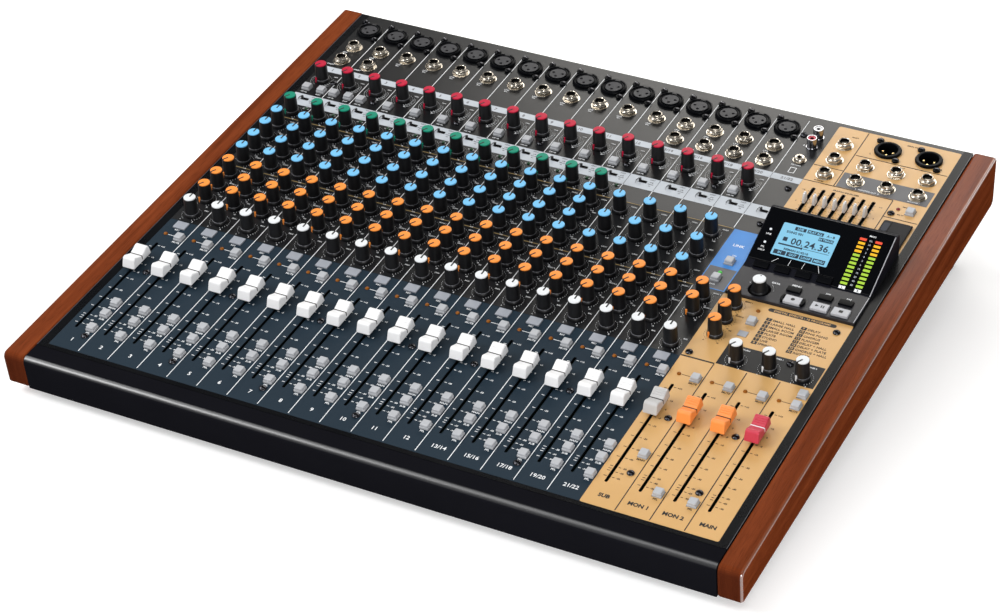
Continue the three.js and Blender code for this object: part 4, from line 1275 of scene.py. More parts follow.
def knobs_of(strip):
    """The knobs of a strip: (name, cap colour, row, turn at rest)."""
    trim = [("trim", "red", trim_row, least_turn)]
    pan = [("pan", "white", pan_row, 0)]
    if strip < mono_strips:
        compressor = [("compressor", "green", comp_row, least_turn)]
        mono = [(name, "blue", row, 0) for name, row in mono_eq]
        return trim + compressor + mono + [(name, "orange", row, least_turn) for name, row in sends] + pan
    send_knobs = [("send", "orange", row, least_turn) for row in send_rows]
    if strip < socket_strips:
        return trim + [("eq", "blue", row, 0) for row in stereo_eq_rows] + send_knobs + pan
    if strip < input_strips:
        return send_knobs[1:] + pan
    return send_knobs if strip == input_strips else [("level", "white", pan_row, least_turn)]


print("knobs of the first strip", len(knobs_of(0)))

# %% Knobs
for name, tint, row, turn in knobs_of(0):
    node = f"{name}_knob_01"
    cap = tint + "_cap"
    slot = "knob_" + tint
    place = (centre(0), row)
    piece(node + "_body", shifted(knob_body, *place, turn=turn), "knob_plastic", body=node, stands_for=[node])
    piece(node + "_cap", shifted(knob_cap, *place, turn=turn), cap, body=node, slot=slot)
    piece(node + "_line", shifted(knob_line, *place, turn=turn), "black_ink", body=node)
    piece(node + "_ring", shifted(knob_highlight_ring, *place), "knob_rim_highlight", body=node)
    piece(node + "_bar", shifted(knob_bar, *place, turn=turn), cap, body=node, slot=slot)

fixed_knobs = [((centre(k), row), tint, turn)
               for k in range(1, strip_count) for name, tint, row, turn in knobs_of(k)]
places = [place for place, tint, turn in fixed_knobs]
turns = [turn for place, tint, turn in fixed_knobs]
copies("knob_bodies", knob_body, places, "knob_plastic", turns)
copies("knob_lines", knob_line, places, "black_ink", turns)
copies("knob_rings", knob_highlight_ring, places, "knob_rim_highlight")
for tint in ("red", "green", "blue", "orange", "white"):
    spots, spins = zip(*[(place, turn) for place, cap_tint, turn in fixed_knobs if cap_tint == tint])
    for part, shape in (("caps", knob_cap), ("bars", knob_bar)):
        copies(f"{tint}_knob_{part}", shape, spots, tint + "_cap", spins, slot="knob_" + tint)
print("fixed knobs", len(fixed_knobs))

# %% [markdown]
# ## Dial scales and labels
# Round each knob the print gives a scale of short marks, its two ends, and the control's name. On the black
# field they are white, on gold they are black. The marks come from the arc tree: one arc per knob. The trim
# knobs have two ranges, so they get drawn-out curved lines beside their marks.

# %% Scales round the knobs
scale_values = {"Radius": 7.9, "Sweep": math.radians(300), "Middle": math.pi / 2, "Count": 21, "Length": 1.2,
                "Width": 0.36}
all_knobs = [(centre(k), row, k, name, tint)
             for k in range(strip_count) for name, tint, row, turn in knobs_of(k)]
dark_print_knobs = [(u, v) for u, v, k, name, tint in all_knobs if k != input_strips]
gold_print_knobs = [(u, v) for u, v, k, name, tint in all_knobs if k == input_strips]
printed("knob_scales", arcs(dark_print_knobs, "white_ink", ink_top, scale_values), "white_ink")
printed("gold_knob_scales", arcs(gold_print_knobs, "black_ink", field_top, scale_values), "black_ink")
print("scales", len(all_knobs))

# %% Names and ends of the scales
knob_titles = {"trim": "TRIM", "compressor": "COMP", "high": "HIGH", "mid_level": "MID", "mid_sweep": "FREQ",
               "low": "LOW", "monitor_1": "MON 1", "monitor_2": "MON 2", "effect_send": "FX", "pan": "PAN"}
end_marks = {"red": ("10", "50"), "green": ("0", "10"), "blue": ("-15", "+15"), "orange": ("0", "10"),
             "white": ("L", "R")}
title_size = 1.4
trim_title_size = 1.2
end_size = 1.25
end_place = (5.4, -8.3)
title_place = (8.2, 8.0)


def title_of(name, row, strip):
    if name == "eq":
        return ("LOW", "MID", "HIGH")[stereo_eq_rows.index(row)]
    if name == "send":
        return ("FX", "MON 2", "MON 1")[send_rows.index(row)]
    return "BAL" if name == "pan" and strip >= mono_strips else knob_titles.get(name)


labels = {True: [], False: []}
for u, v, strip, name, tint in all_knobs:
    chosen = labels[strip == input_strips]
    for side, text in zip((-1, 1), end_marks[tint]):
        chosen.append((text, u + side * end_place[0], v + end_place[1], end_size))
    title = title_of(name, v, strip)
    if title:
        size = trim_title_size if name == "trim" else title_size
        chosen.append((title, u + title_place[0], v + title_place[1], size))
printed("knob_labels", words(labels[False], ink_top), "white_ink")
printed("gold_knob_labels", words(labels[True], field_top, bold), "black_ink")
print("labels round knobs", len(labels[True]) + len(labels[False]))

# %% Ranges of the trim knobs
trim_places = [(centre(k), trim_row) for k in range(socket_strips)]
trim_scale = {**scale_values, "Sweep": math.radians(80)}
drawn_line = {"Count": 30, "Length": 0.25, "Width": 0.7}
trim_arcs = [(8.2, -15, drawn_line), (10.2, -15, drawn_line), (9.2, -15, {"Count": 7, "Length": 2}),
             (9.6, 190, drawn_line)]
trim_print = []
for radius, middle, marks in trim_arcs:
    values = {**trim_scale, "Radius": radius, "Middle": math.radians(middle), **marks}
    trim_print.append(arcs(trim_places, "white_ink", 0, values))
printed("trim_arcs", trim_print, "white_ink")
print("trim scales", len(trim_places))

# %% [markdown]
# ## Push buttons
# The buttons are milky mouldings with softened edges that stand on plungers: a skirt stays in its hole, and
# a smaller top meets the finger. The record-arm keys are flat. Copies of one bevelled block make a whole
# row.

# %% Buttons
button_inset = 0.3


def stepped_button(width, length):
    skirt = block((-width / 2, -length / 2, -1.2), (width / 2, length / 2, 1.6), 0.3, 1)
    half_width = width / 2 - button_inset
    half_length = length / 2 - button_inset
    top = block((-half_width, -half_length, 1.0), (half_width, half_length, 3.7), 0.8, 3)
    return gathered([skirt, top])


latch_shape = stepped_button(button_width, button_length)
arm_shape = block((-arm_width / 2, -arm_length / 2, -1.2), (arm_width / 2, arm_length / 2, 1.0), 0.35, 2)
low_cut_places = [(k * pitch + low_cut_across, low_cut_row) for k in range(socket_strips)]
insert_places = [(k * pitch + insert_across, low_cut_row) for k in range(2)]
single_places = [link_button, pairing_button, effect_button, equaliser_button]
for name, shape, places, finish in (
    ("channel_buttons", latch_shape, latch_places + master_latch_places, "button_plastic"),
    ("record_arm_keys", arm_shape, arm_places, "flat_key_plastic"),
    ("low_cut_buttons", stepped_button(7.4, 6.8), low_cut_places, "button_plastic"),
    ("insert_buttons", stepped_button(button_width, 6.8), insert_places, "button_plastic"),
    ("single_buttons", latch_shape, single_places, "button_plastic"),
):
    copies(name, shape, places, finish, slot="button_plastic")
tap_key = shifted(block((-3.45, -3.1, 0.1), (3.45, 3.1, 0.7), 0.25, 2), 455.5, 206.4)
piece("tap_key", tap_key, "flat_key_plastic", slot="button_plastic")
print("low cut buttons", len(low_cut_places), "single ones", len(single_places))

# %% [markdown]
# ## Small lamps
# Each mute button has a small domed lamp beside it that is amber even when it is dark. Others tell of
# compression, the equaliser and a link. One dome turned from a profile serves them all, in different
# plastics.

# %% Small lamps
lamp_shape = turned([(0, 0.05), (1.6, 0.05), (1.6, 0.5), (1.3, 1), (0.7, 1.35), (0, 1.4)], steps=12)
amber_places = [(fader_across(k) - 0.5, 148) for k in inputs]
amber_places += [(431.8 + pitch * step, 147.8) for step in range(len(masters))] + [(455.5, 234.9)]
green_places = [(k * pitch + 21, 338) for k in range(mono_strips)]
copies("mute_lamps", lamp_shape, amber_places, "unlit_amber")
copies("compressor_lamps", lamp_shape, green_places, "unlit_green")
piece("equaliser_lamp", shifted(lamp_shape, 504.5, 390.9), "unlit_red")
piece("link_lamp", shifted(lamp_shape, 412.4, 266.7), "lit_green")
print("lamps", len(amber_places) + len(green_places) + 2)

# %% [markdown]
# ## Fader scales and button names
# Every fader has decibel marks on both sides of its slot, closer together towards the bottom, and each
# button has its name below and a short line to its lamp. All of it is print, white on slate and black on
# gold, so one function lays it on any strips and takes the ink as a value.

# %% Print between the faders
left_marks = [130, 89.2, 74.5, 62.2, 51.2, 40.7, 38, 35.7, 30]
right_marks = {132.8: "+10", 118.3: "+5", 108.3: "0", 98.3: "-5", 89.2: "-10", 74.5: "-20", 62.2: "-30",
               51.2: "-40", 40.7: "-50", 35.7: "-60", 30: "-90"}
names = {mute_row: "MUTE", main_row: "MAIN", sub_row: "SUB", listen_row: "PFL"}
medium = 0.02
heavy = 0.05
name_size = 1.8
name_drop = 5.5
scale_size = 1.55
mark_half = 0.22


def fader_print(strips, level, ink, name, rows_of):
    marks = []
    texts = []
    for strip in strips:
        left = strip * pitch
        marks += [bar(left + 3.4, v - mark_half, left + 5.6, v + mark_half, level) for v in left_marks]
        marks += [bar(left + 9.6, v - mark_half, left + 11.4, v + mark_half, level) for v in right_marks]
        texts += [(text, left + 14.1, v, scale_size) for v, text in right_marks.items()]
        texts += [(names[row], button_across(strip), row - name_drop, name_size) for row in rows_of(strip)]
        marks.append(bar(left + 9.2, mute_row + 1, button_across(strip) - 4, mute_row + 1.4, level))
    printed(name + "_marks", marks, ink)
    printed(name + "_labels", words(texts, level, medium), ink)


fader_print(inputs, field_top, "white_ink", "slate", lambda strip: input_rows)
fader_print(masters, field_top, "black_ink", "gold", lambda strip: [mute_row] + extra_rows.get(strip, []))
print("fader marks", len(left_marks) + len(right_marks), "a strip")

# %% Numbers and titles of the strips
title_row = 11.3
numbers = [str(k + 1) for k in range(mono_strips)] + ["13/14", "15/16", "17/18", "19/20", "21/22"]
strip_titles = [(text, k * pitch + 13.3, title_row, 3.7) for k, text in enumerate(numbers)]
strip_titles += [("REC", centre(k), 155.3, 1.6) for k in inputs]
printed("strip_numbers", words(strip_titles, field_top), "white_ink")
master_names = ["SUB", "MON 1", "MON 2", "MAIN"]
master_titles = [(text, centre(k), title_row, 3.5) for k, text in zip(masters, master_names)]
printed("master_titles", words(master_titles, field_top, heavy), "black_ink")
print("titles", len(numbers) + len(master_names))

# %% [markdown]
# ## Faders
# A fader cap is a saddle: it dips to a waist where the finger rests, rises to a crown at each end, and has
# ribs behind. A line crosses its waist and runs down its sides. The cap is drawn from the side, given its
# width, drawn in towards the top and bevelled. Each cap is a piece on the body of its joint, with the steel
# lever that carries it.

# %% The saddle
cap_half = 12
cap_low = 3.5
cap_top = 12
cap_waist = 8.76
cap_width = 11
cap_taper = 0.07
cap_corner_turn = 50
crown = 9.5
crown_height = 12.9
crown_radius = 2.4
waist_corner = 8.4
waist_radius = 2.5


def drawn_in(mesh, share, low, high):
    """A mesh that loses a share of its width from one height to another."""
    for vertex in mesh.vertices:
        vertex.co.x *= 1 - share * (vertex.co.z - low) / (high - low)
    return mesh


cap_outline = rounded_path([
    (-cap_half, cap_low, 0), (-crown, crown_height, crown_radius), (0, waist_corner, waist_radius),
    (crown, crown_height, crown_radius), (cap_half, cap_low, 0),
])
fader_cap = drawn_in(side_slab(cap_outline, -cap_width / 2, cap_width / 2), cap_taper, cap_low, cap_top)
fader_cap = softened(fader_cap, 0.9, steps=3, sharper_than=cap_corner_turn)
print("cap faces", len(fader_cap.polygons))

# %% Ribs and waist line
rib_pitch = 1.6
line_reach = cap_width / 2 + 0.05


def rib(v):
    """A rib across the cap, on the plane that climbs from the waist to a crown."""
    top = waist_corner + (crown_height - waist_corner) * abs(v) / crown
    return block((-4.4, v - 0.3, top - 0.6), (4.4, v + 0.3, top + 0.35), 0.1, 1)


fader_ribs = gathered([rib(3 + rib_pitch * step) for step in range(3)])
line_side = [(line_reach, 5.6), (line_reach, cap_waist - 0.5), (line_reach - 0.15, cap_waist - 0.15),
             (line_reach - 0.5, cap_waist)]
fader_line = slab([line_side + [(-x, z) for x, z in reversed(line_side)]], -0.45, 0.45)
fader_line.transform(Matrix.Rotation(math.pi / 2, 4, "X"))
fader_line = drawn_in(fader_line, cap_taper, cap_low, cap_top)
print("line", round(2 * line_reach, 1), "mm over the waist")

# %% Faders
lever_foot = -13.6
fader_lever = block((-0.6, -4, lever_foot), (0.6, 4, cap_low + 0.6), 0.15, 1)
line_inks = {"red": "white_ink", "white": "line_grey"}
fader_kinds = [(f"fader_{k + 1:02d}", "white") for k in inputs]
fader_kinds += [("fader_sub", "grey"), ("fader_monitor_1", "orange"), ("fader_monitor_2", "orange")]
fader_kinds += [("fader_main", "red")]
for strip, (node, tint) in enumerate(fader_kinds):
    at = (fader_across(strip), fader_rest)
    cap = [shifted(fader_cap, *at), shifted(fader_ribs, *at)]
    piece(node + "_cap", cap, tint + "_fader", body=node, slot="cap_" + tint, stands_for=[node])
    piece(node + "_line", shifted(fader_line, *at), line_inks.get(tint, "black_ink"), body=node)
    piece(node + "_lever", shifted(fader_lever, *at), "screw_black", body=node)
print("faders", len(fader_kinds))

# %% [markdown]
# ## Equaliser sliders
# The seven small sliders have narrow caps that lean in from all sides, with a grey line across the top. They
# are made as the faders are: a side view, a width, the same drawing in towards the top, and a bevel.

# %% Equaliser sliders
eq_rest = 372.5
eq_cap_low = 1
eq_cap_end = 9.5
eq_taper = 0.36
eq_outline = [(-3, 1), (3, 1), (2.4, 6), (1.9, 8.8), (1.5, 9.2), (-1.5, 9.2), (-1.9, 8.8), (-2.4, 6)]
eq_cap = drawn_in(side_slab(eq_outline, -1.2, 1.2), eq_taper, eq_cap_low, eq_cap_end)
eq_cap = softened(eq_cap, 0.3, steps=2, sharper_than=cap_corner_turn)
eq_line = block((-0.75, -0.2, 8.9), (0.75, 0.2, 9.26))
eq_lever = block((-0.5, -2.5, lever_foot), (0.5, 2.5, 1.5), 0.1, 1)
for band in bands:
    node = f"eq_slider_{band + 1}"
    at = (band_across(band), eq_rest)
    piece(node + "_cap", shifted(eq_cap, *at), "white_fader", body=node, slot="cap_white", stands_for=[node])
    piece(node + "_line", shifted(eq_line, *at), "grey_print", body=node)
    piece(node + "_lever", shifted(eq_lever, *at), "screw_black", body=node)
print("equaliser bands", len(bands))

# %% [markdown]
# ## Microphone sockets
# A microphone socket is a black ring with a grey insert, three holes and two screwed ears. The ring and the
# ears are turned, the insert is a slab whose holes are outlines, and one copy stands at the rear of each
# strip.

# %% Microphone sockets
socket_row = 459.6
socket_places = [(centre(k), socket_row) for k in range(socket_strips)]
socket_ring = turned([
    (0, 0.1), (10.6, 0.1), (10.6, 1.7), (10.2, 2.3), (9.5, 2.5), (8.9, 2.2), (8.6, 1.6), (8.1, 1.6),
    (7.9, 2.2), (7.5, 2.3), (7.1, 2.1), (6.9, 1.7), (6.9, 0.9), (0, 0.9),
], steps=32)
ear_places = [(-10, 11), (9.8, -10.3)]
ear = turned([(0, 0.1), (2.9, 0.1), (2.9, 1.5), (2.6, 1.8), (0, 1.8)], steps=16)
ears = [shifted(ear, u, v) for u, v in ear_places]
pin_spots = [(-4, 0.6), (4, 0.6), (0, -3.8)]
socket_insert = slab([circle(0, 0, 6.7, 24)] + [circle(u, v, 1.25, 12) for u, v in pin_spots], 0.95, 2.0)
latch_mark = block((-2.2, 7.6, 2.0), (2.2, 9.9, 2.75), 0.2, 1)
rings = gathered([socket_ring] + ears)
copies("microphone_socket_rings", rings, socket_places, "socket_black", slot="black_plastic")
copies("microphone_socket_inserts", socket_insert, socket_places, "insert_grey", slot="black_plastic")
copies("microphone_socket_latches", latch_mark, socket_places, "key_rubber")
print("microphone sockets", len(socket_places))

# %% [markdown]
# ## Jacks
# A line jack is a hexagon nut on a washer, and a bushing whose bore is dark, all of it nickel. Nuts are
# tightened by hand and stop at any angle, so each copy gets its own turn. The two phono sockets and the
# small jack are turned too.

# %% Line jacks
jack_nut = softened(turned([(0, 0.5), (6.4, 0.5), (6.4, 2.7), (0, 2.7)], steps=6), 0.35, 1)
jack_washer = turned([(0, 0.1), (7.1, 0.1), (7.1, 0.4), (6.9, 0.55), (0, 0.55)])
jack_bushing = turned([(0, 2.5), (5.3, 2.5), (5.3, 2.9), (4.7, 3.6), (4.5, 4.2), (4.5, 4.8), (4.35, 5.1),
                       (4.0, 5.2), (3.7, 4.9), (3.6, 0.8), (0, 0.8)])
jack_bore = turned([(0, 0.7), (3.58, 0.7), (3.64, 4.6), (3.5, 4.6), (3.45, 1.0), (0, 1.0)])
jack_rows = (432.7, 411.5)
jack_places = [(centre(k), jack_rows[0]) for k in range(socket_strips)]
jack_places += [(centre(k), jack_rows[1]) for k in (0, 1, 12, 13, 14, 15)]
jack_places += [(centre(k), row) for k in masters for row in jack_rows]
jack_places += [(centre(17), 454)]
nut_turns = [0.2 + 0.7 * math.sin(index * 2.4) for index in range(len(jack_places))]
copies("jack_nuts", jack_nut, jack_places, "nickel", nut_turns, slot="socket_metal")
copies("jack_bushings", gathered([jack_washer, jack_bushing]), jack_places, "nickel", slot="socket_metal")
copies("jack_bores", jack_bore, jack_places, "bore_black")
print("line jacks", len(jack_places))

# %% Phono sockets
phono_shell = turned([
    (0, 0.1), (4.6, 0.1), (4.6, 0.9), (4.0, 1.0), (4.0, 8.9), (3.8, 9.2), (3.3, 9.2), (3.1, 8.9), (3.1, 7.8),
    (0, 7.8),
])
phono_insert = turned([(0, 7.7), (3.05, 7.7), (3.05, 8.6), (1.6, 8.7), (1.5, 7.9), (0, 7.9)])
phono_bore = turned([(0, 7.8), (1.48, 7.8), (1.48, 8.3), (0, 8.3)], steps=16)
phonos = {"white": (414.8, 456.6), "red": (414.8, 442.7)}
piece("phono_shells", [shifted(phono_shell, *at) for at in phonos.values()], "chrome", slot="socket_metal")
for tint, at in phonos.items():
    piece(f"phono_{tint}_insert", shifted(phono_insert, *at), tint + "_fader")
piece("phono_bores", [shifted(phono_bore, *at) for at in phonos.values()], "bore_black")
print("phono sockets", len(phonos))

# %% The small jack
small_jack_place = (412.5, 423)
small_jack = turned([
    (0, 0.1), (5.4, 0.1), (5.4, 0.5), (4.6, 0.6), (4.4, 2.2), (3.6, 3.1), (2.2, 3.3), (1.8, 2.9), (1.8, 2.0),
    (0, 2.0),
])
small_bore = turned([(0, 1.9), (1.78, 1.9), (1.78, 2.3), (0, 2.3)], steps=16)
piece("small_jack", shifted(small_jack, *small_jack_place), "nickel", slot="socket_metal")
piece("small_jack_bore", shifted(small_bore, *small_jack_place), "bore_black")
print("small jack at", small_jack_place)

# %% [markdown]
# ## Output plugs
# The two output plugs have real cups that go down through the panel, with gilt pins standing in them. The
# profile of the cup runs up its outside and down its inside, so that turning it gives a wall with a floor.

# %% Output plugs
plug_shell = turned([
    (0, -9.6), (8.5, -9.6), (8.5, 0.1), (10.7, 0.1), (10.8, 1.6), (10.3, 2.3), (9.2, 2.5), (8.0, 2.2),
    (7.7, 1.4), (7.7, -8.8), (0, -8.8),
], steps=32)
plug_shape = gathered([plug_shell] + ears)
shells = [shifted(plug_shape, *at) for at in line_plugs]
piece("output_plug_shells", shells, "socket_black", slot="black_plastic")
plug_pin = turned([(0, -8.9), (1.15, -8.9), (1.15, -1.0), (0.8, -0.3), (0, -0.1)], steps=12)
pin_circle = 4.2
pin_angles = (-math.pi, -math.pi / 2, 0)
pins = [shifted(plug_pin, *spot) for at in line_plugs for spot in ring_points(at, pin_circle, pin_angles)]
piece("output_plug_pins", pins, "gilt")
print("pins", len(pins))

# %% [markdown]
# ## Screws and slide switches
# Small black pan-head screws with a cross recess hold the panel, and a slide switch in each pale band sets
# what its strip listens to. They are small in the picture, but an eye that knows such desks looks for them.
# As with the nuts, no two screws stop at the same angle.

# %% Screws
screw_places = [(button_across(k), 100.3) for k in (0, 3, 6, 9, 11, 14)]
screw_places += [(button_across(k), 17.5) for k in (0, 3, 6, 9, 14)]
screw_places += [(u, 366) for u in (67.2, 143.2, 217.2, 292, 366)] + [(418.5, 384.5), (416.5, 334)]
screw_places += [(516, 233.6), (428.7, 172.7), (499, 188.2), (444.5, 100.4), (494.5, 100.4), (444.5, 38.5)]
screw_places += [(494.5, 38.5), (501.3, 384), (403, 456), (4, 470), (23.2, 379)]
screw_turns = [0.5 + 1.3 * math.sin(index * 1.7) for index in range(len(screw_places))]
head = turned([(0, 0.1), (2.8, 0.1), (2.85, 0.5), (2.5, 1.2), (1.6, 1.65), (0, 1.8)], steps=20)
# The cross recess is not cut: a near-black cross laid on each head is a painted shade of its hollow.
cross = gathered([block((-1.3, -0.26, 1.2), (1.3, 0.26, 1.86)), block((-0.26, -1.3, 1.2), (0.26, 1.3, 1.86))])
copies("panel_screws", head, screw_places, "screw_black", screw_turns)
copies("panel_screw_crosses", cross, screw_places, "bore_black", screw_turns)
ear_top = 1.7
ear_spots = [(u + across_ear, v + along_ear, ear_top)
             for u, v in socket_places + line_plugs for across_ear, along_ear in ear_places]
ear_head = turned([(0, 0), (1.9, 0), (1.85, 0.5), (1.2, 0.8), (0, 0.9)], steps=12)
copies("ear_screws", ear_head, ear_spots, "screw_black")
print("screws", len(screw_places) + len(ear_spots))

# %% Slide switches
switch_row = 350
switch_across = 12.7
switch_places = [(k * pitch + switch_across, switch_row) for k in inputs]
switch_frame = slab([rounded(-3.3, -1.4, 3.3, 1.4, 0.3, 2), rounded(-3.0, -1.1, 3.0, 1.1)], field_top, 0.45)
switch_floor = block((-3.1, -1.2, field_top), (3.1, 1.2, 0.25))
switch_lever = block((-2.9, -1.0, 0.25), (-1.4, 1.0, 3.0), 0.25, 2)
copies("switch_frames", switch_frame, switch_places, "black_plastic")
copies("switch_floors", switch_floor, switch_places, "bore_black")
copies("switch_levers", switch_lever, switch_places, "key_rubber")
print("slide switches", len(switch_places))

# %% Print round the slide switches
switch_words = (("INPUT", 6.6, 4.4), ("LIVE", 7, 1), ("TRACK", 7, -1.4), ("PC", 7, -3.8))
band_labels = [(text, k * pitch + switch_across, 396.4, 3.2) for k, text in enumerate(numbers)]
switch_labels = [(text, u + beside, v + above, 1.1)
                 for u, v in switch_places for text, beside, above in switch_words]
printed("band_labels", words(band_labels, field_top), "grey_print")
printed("switch_labels", words(switch_labels, field_top), "grey_print")
bracket_places = [(u + 1.4, v) for u, v in switch_places]
bracket = {"Sweep": math.radians(56), "Middle": math.pi, "Count": 12, "Length": 0.9, "Width": 0.7}
for name, radius, ink in (("dark", 6.8, "black_ink"), ("light", 5.85, "white_ink")):
    values = {**scale_values, **bracket, "Radius": radius}
    printed(f"switch_brackets_{name}", arcs(bracket_places, ink, field_top, values), ink)
print("switch labels", len(switch_labels))

# %% [markdown]
# ## Labels at the rear
# The words beside the jacks repeat from strip to strip, so a loop writes them. Those of the return, the link
# and the outputs stand once each. Every label is its text, its middle and the height of its capitals, as on
# a printer's film.

# %% White labels
rear_labels = []
for strip in range(socket_strips):
    u = centre(strip)
    rear_labels += [("LINE", u - 3.8, 424.4, 1.5), ("BAL", u - 3.6, 422.2, 1.3)]
    if strip < len(insert_places) or strip >= mono_strips:
        rear_labels.append(("INSERT" if strip < len(insert_places) else "R", u - 6, 404, 1.5))
    rear_labels.append(("100 Hz", strip * pitch + low_cut_across, 359.4, 1.5))
rear_labels += [("INST", u, 359.4, 1.5) for u, v in insert_places]
rear_labels += [
    ("L", 408.3, 457, 1.8), ("R", 408.3, 443, 1.8), ("RETURN", 412.4, 415.5, 1.5), ("LINK", 412.4, 302, 3.0),
    ("ON", 414, 289.5, 1.6), ("PAIR", 412.4, 252, 1.5),
]
printed("rear_labels", words(rear_labels, field_top), "white_ink")
return_frame = [rounded(409.7, 404.6, 414.8, 412), rounded(410.2, 405.1, 414.3, 411.5)]
field("return_frame", return_frame, "white_ink")
print("white labels", len(rear_labels))

# %% Black labels
gold_labels = [
    ("FOOT", 441.5, 467.5, 1.5), ("1", 431, 456, 1.6), ("2", 431, 434, 1.6), ("PHONES", 436, 403.2, 1.4),
    ("L", 459.5, 452, 1.9), ("R", 517, 452, 1.9), ("MAIN OUT", 487.5, 473, 1.6), ("SUB OUT", 487, 442.7, 1.4),
    ("GRAPHIC EQUALIZER", 461, 395.6, 1.6), ("EQ IN", 508.5, 384.6, 1.4), ("MAIN", 509, 395.2, 1.4),
]
frequencies = ["125", "250", "500", "1k", "2k", "4k", "8k"]
gains = (("+15", 388), ("0", 372.5), ("-15", 357))
gold_labels += [(text, band_across(band), 348.6, 1.3) for band, text in enumerate(frequencies)]
gold_labels += [(text, u, v, 1.3) for u in (429.6, 491.6) for text, v in gains]
printed("gold_rear_labels", words(gold_labels, field_top), "black_ink")
monitor_labels = [("L  MONITOR OUT  R", 475, 403.4, 1.5), ("MONITOR 1", 512, 403.4, 1.3)]
printed("monitor_labels", words(monitor_labels, ink_top), "white_ink")
print("black labels", len(gold_labels))

# %% Marks beside the equaliser sliders
eq_travel_half = 15
eq_mark_pitch = 5
slot_edge = 0.4
mark_rows = [eq_rest - eq_travel_half + eq_mark_pitch * step for step in range(7)]
eq_marks = []
for band in bands:
    for v in mark_rows:
        for left in (1.9, -3.1):
            near = band_across(band) + left
            eq_marks.append(bar(near, v - 0.15, near + 1.2, v + 0.15, field_top))
slot_edges = [slab([band_slot(band, slot_edge), band_slot(band)], field_top, ink_top) for band in bands]
printed("equaliser_marks", eq_marks, "black_ink")
printed("equaliser_slot_edges", slot_edges, "black_ink")
print("equaliser marks", len(eq_marks))

# %% [markdown]
# ## List of effects
# Sixteen programs stand in two columns: a black box with a gold number, and the name beside it. A name
# starts at the box, but letters are centred here, so half the width of each word is measured on its own
# letters.

# %% List of effects
effects = [
    ["SMALL HALL", "LARGE HALL", "SMALL ROOM", "LARGE ROOM", "PLATE", "STUDIO", "LIVE", "SPRING"],
    ["DELAY", "PING PONG", "CHORUS", "FLANGER", "DELAY + HALL", "DELAY + PLATE", "CHORUS + HALL", "ROTARY"],
]
effect_rows = [229.1 - 4.06 * step for step in range(8)]
effect_size = 2.3
boxes = [slab([rounded(461.5, 238, 513.5, 241.8, 1.88, 6)], field_top, ink_top)]
effect_texts = []
box_numbers = []
for left, titles in zip((464.3, 490.9), effects):
    for v, title in zip(effect_rows, titles):
        boxes.append(bar(left, v - 1.6, left + 4.2, v + 1.6, field_top))
        box_numbers.append((str(len(boxes) - 1), left + 2.1, v, 2.0))
        half = max(vertex.co.x for vertex in lettering(title).vertices) * effect_size
        effect_texts.append((title, left + 5 + half, v, effect_size))
box_numbers.append(("DIGITAL EFFECTS - 16 PROGRAMS", 487.5, 239.9, 2.1))
printed("effect_boxes", boxes, "black_ink")
printed("effect_names", words(effect_texts, field_top), "black_ink")
printed("effect_numbers", words(box_numbers, ink_top), "gold_print")
bus_titles = [("FX RETURN", 463, 190, 1.4), ("PHONES 1", 489, 190, 1.4), ("PHONES 2", 514, 190, 1.4)]
printed("bus_titles", words(bus_titles, ink_top), "white_ink")
print("effects", len(effect_texts))

# %% [markdown]
# ## Display pod
# The pod is a low shelf for the keys that ramps up to a sloping black window. Its outline is drawn from the
# side and bevelled, and the shelf is a plate with real wells, so that the keys can sink and the dial can
# turn in theirs.

# %% Measures of the pod
pod_left = 425.4
pod_right = 524.6
pod_front = 245.5
pod_break = 277.5
pod_crest = 333
pod_rear = 338
pod_foot = 0.3
pod_low = 2.6
pod_high = 21
slope_rise = (pod_high - pod_low) / (pod_crest - pod_break)
slope_pitch = math.atan(slope_rise)
slope_length = (pod_crest - pod_break) / math.cos(slope_pitch)
glass = 1.0
glass_drop = (glass + 0.15) / math.cos(slope_pitch)
dial_place = (447.6, 256.3)
dial_well_radius = 8.5
key_places = {"record_key": (475, 252.6), "play_key": (495.7, 252.6), "stop_key": (511.8, 252.6)}
key_width = 12.8
key_length = 8.2
print("slope", round(math.degrees(slope_pitch), 1), "degrees, window", round(slope_length, 1), "mm")

# %% Shelf and ramp
shelf = [rounded(pod_left, pod_front, pod_right, pod_break + 0.6)]
shelf += [key_hole(place, key_width, key_length) for place in key_places.values()]
shelf += [circle(*dial_place, dial_well_radius, 32)]
shelf_plate = softened(slab(shelf, pod_foot, pod_low), 0.3)
ramp_top = pod_high - glass_drop
ramp = softened(side_slab([
    (pod_break, pod_foot), (pod_rear, pod_foot), (pod_rear, ramp_top - 2.4), (pod_rear - 1.2, ramp_top - 1),
    (pod_crest, ramp_top), (pod_break + glass_drop / slope_rise, pod_low), (pod_break, pod_low),
], pod_left, pod_right), 0.5, sharper_than=25)
well_floor = turned([(0, 0.25), (8.45, 0.25), (8.45, 0.5), (0, 0.5)], steps=32)
piece("pod_shelf", shelf_plate, "pod_plastic", slot="pod_plastic", stands_for=["display_pod"])
piece("pod_ramp", ramp, "bed_black", slot="pod_plastic")
piece("dial_well_floor", shifted(well_floor, *dial_place), "bore_black")
print("wells in the shelf", len(shelf) - 1)

# %% [markdown]
# ## Window on the slope
# What lies on the slope is written in the slope's own axes: across as on the deck, and up the slope instead
# of back. One matrix lays it down. The window is a glossy plate that leaves a strip free at its foot for
# four function keys.

# %% The slope's axes
slope = deck @ Matrix.Translation((0, pod_break, pod_low)) @ Matrix.Rotation(slope_pitch, 4, "X")


def along(v):
    """The way up the slope to a place whose v on the deck is given."""
    return (v - pod_break) / math.cos(slope_pitch)


print("the function keys' strip is", round(along(286.2), 1), "mm wide")

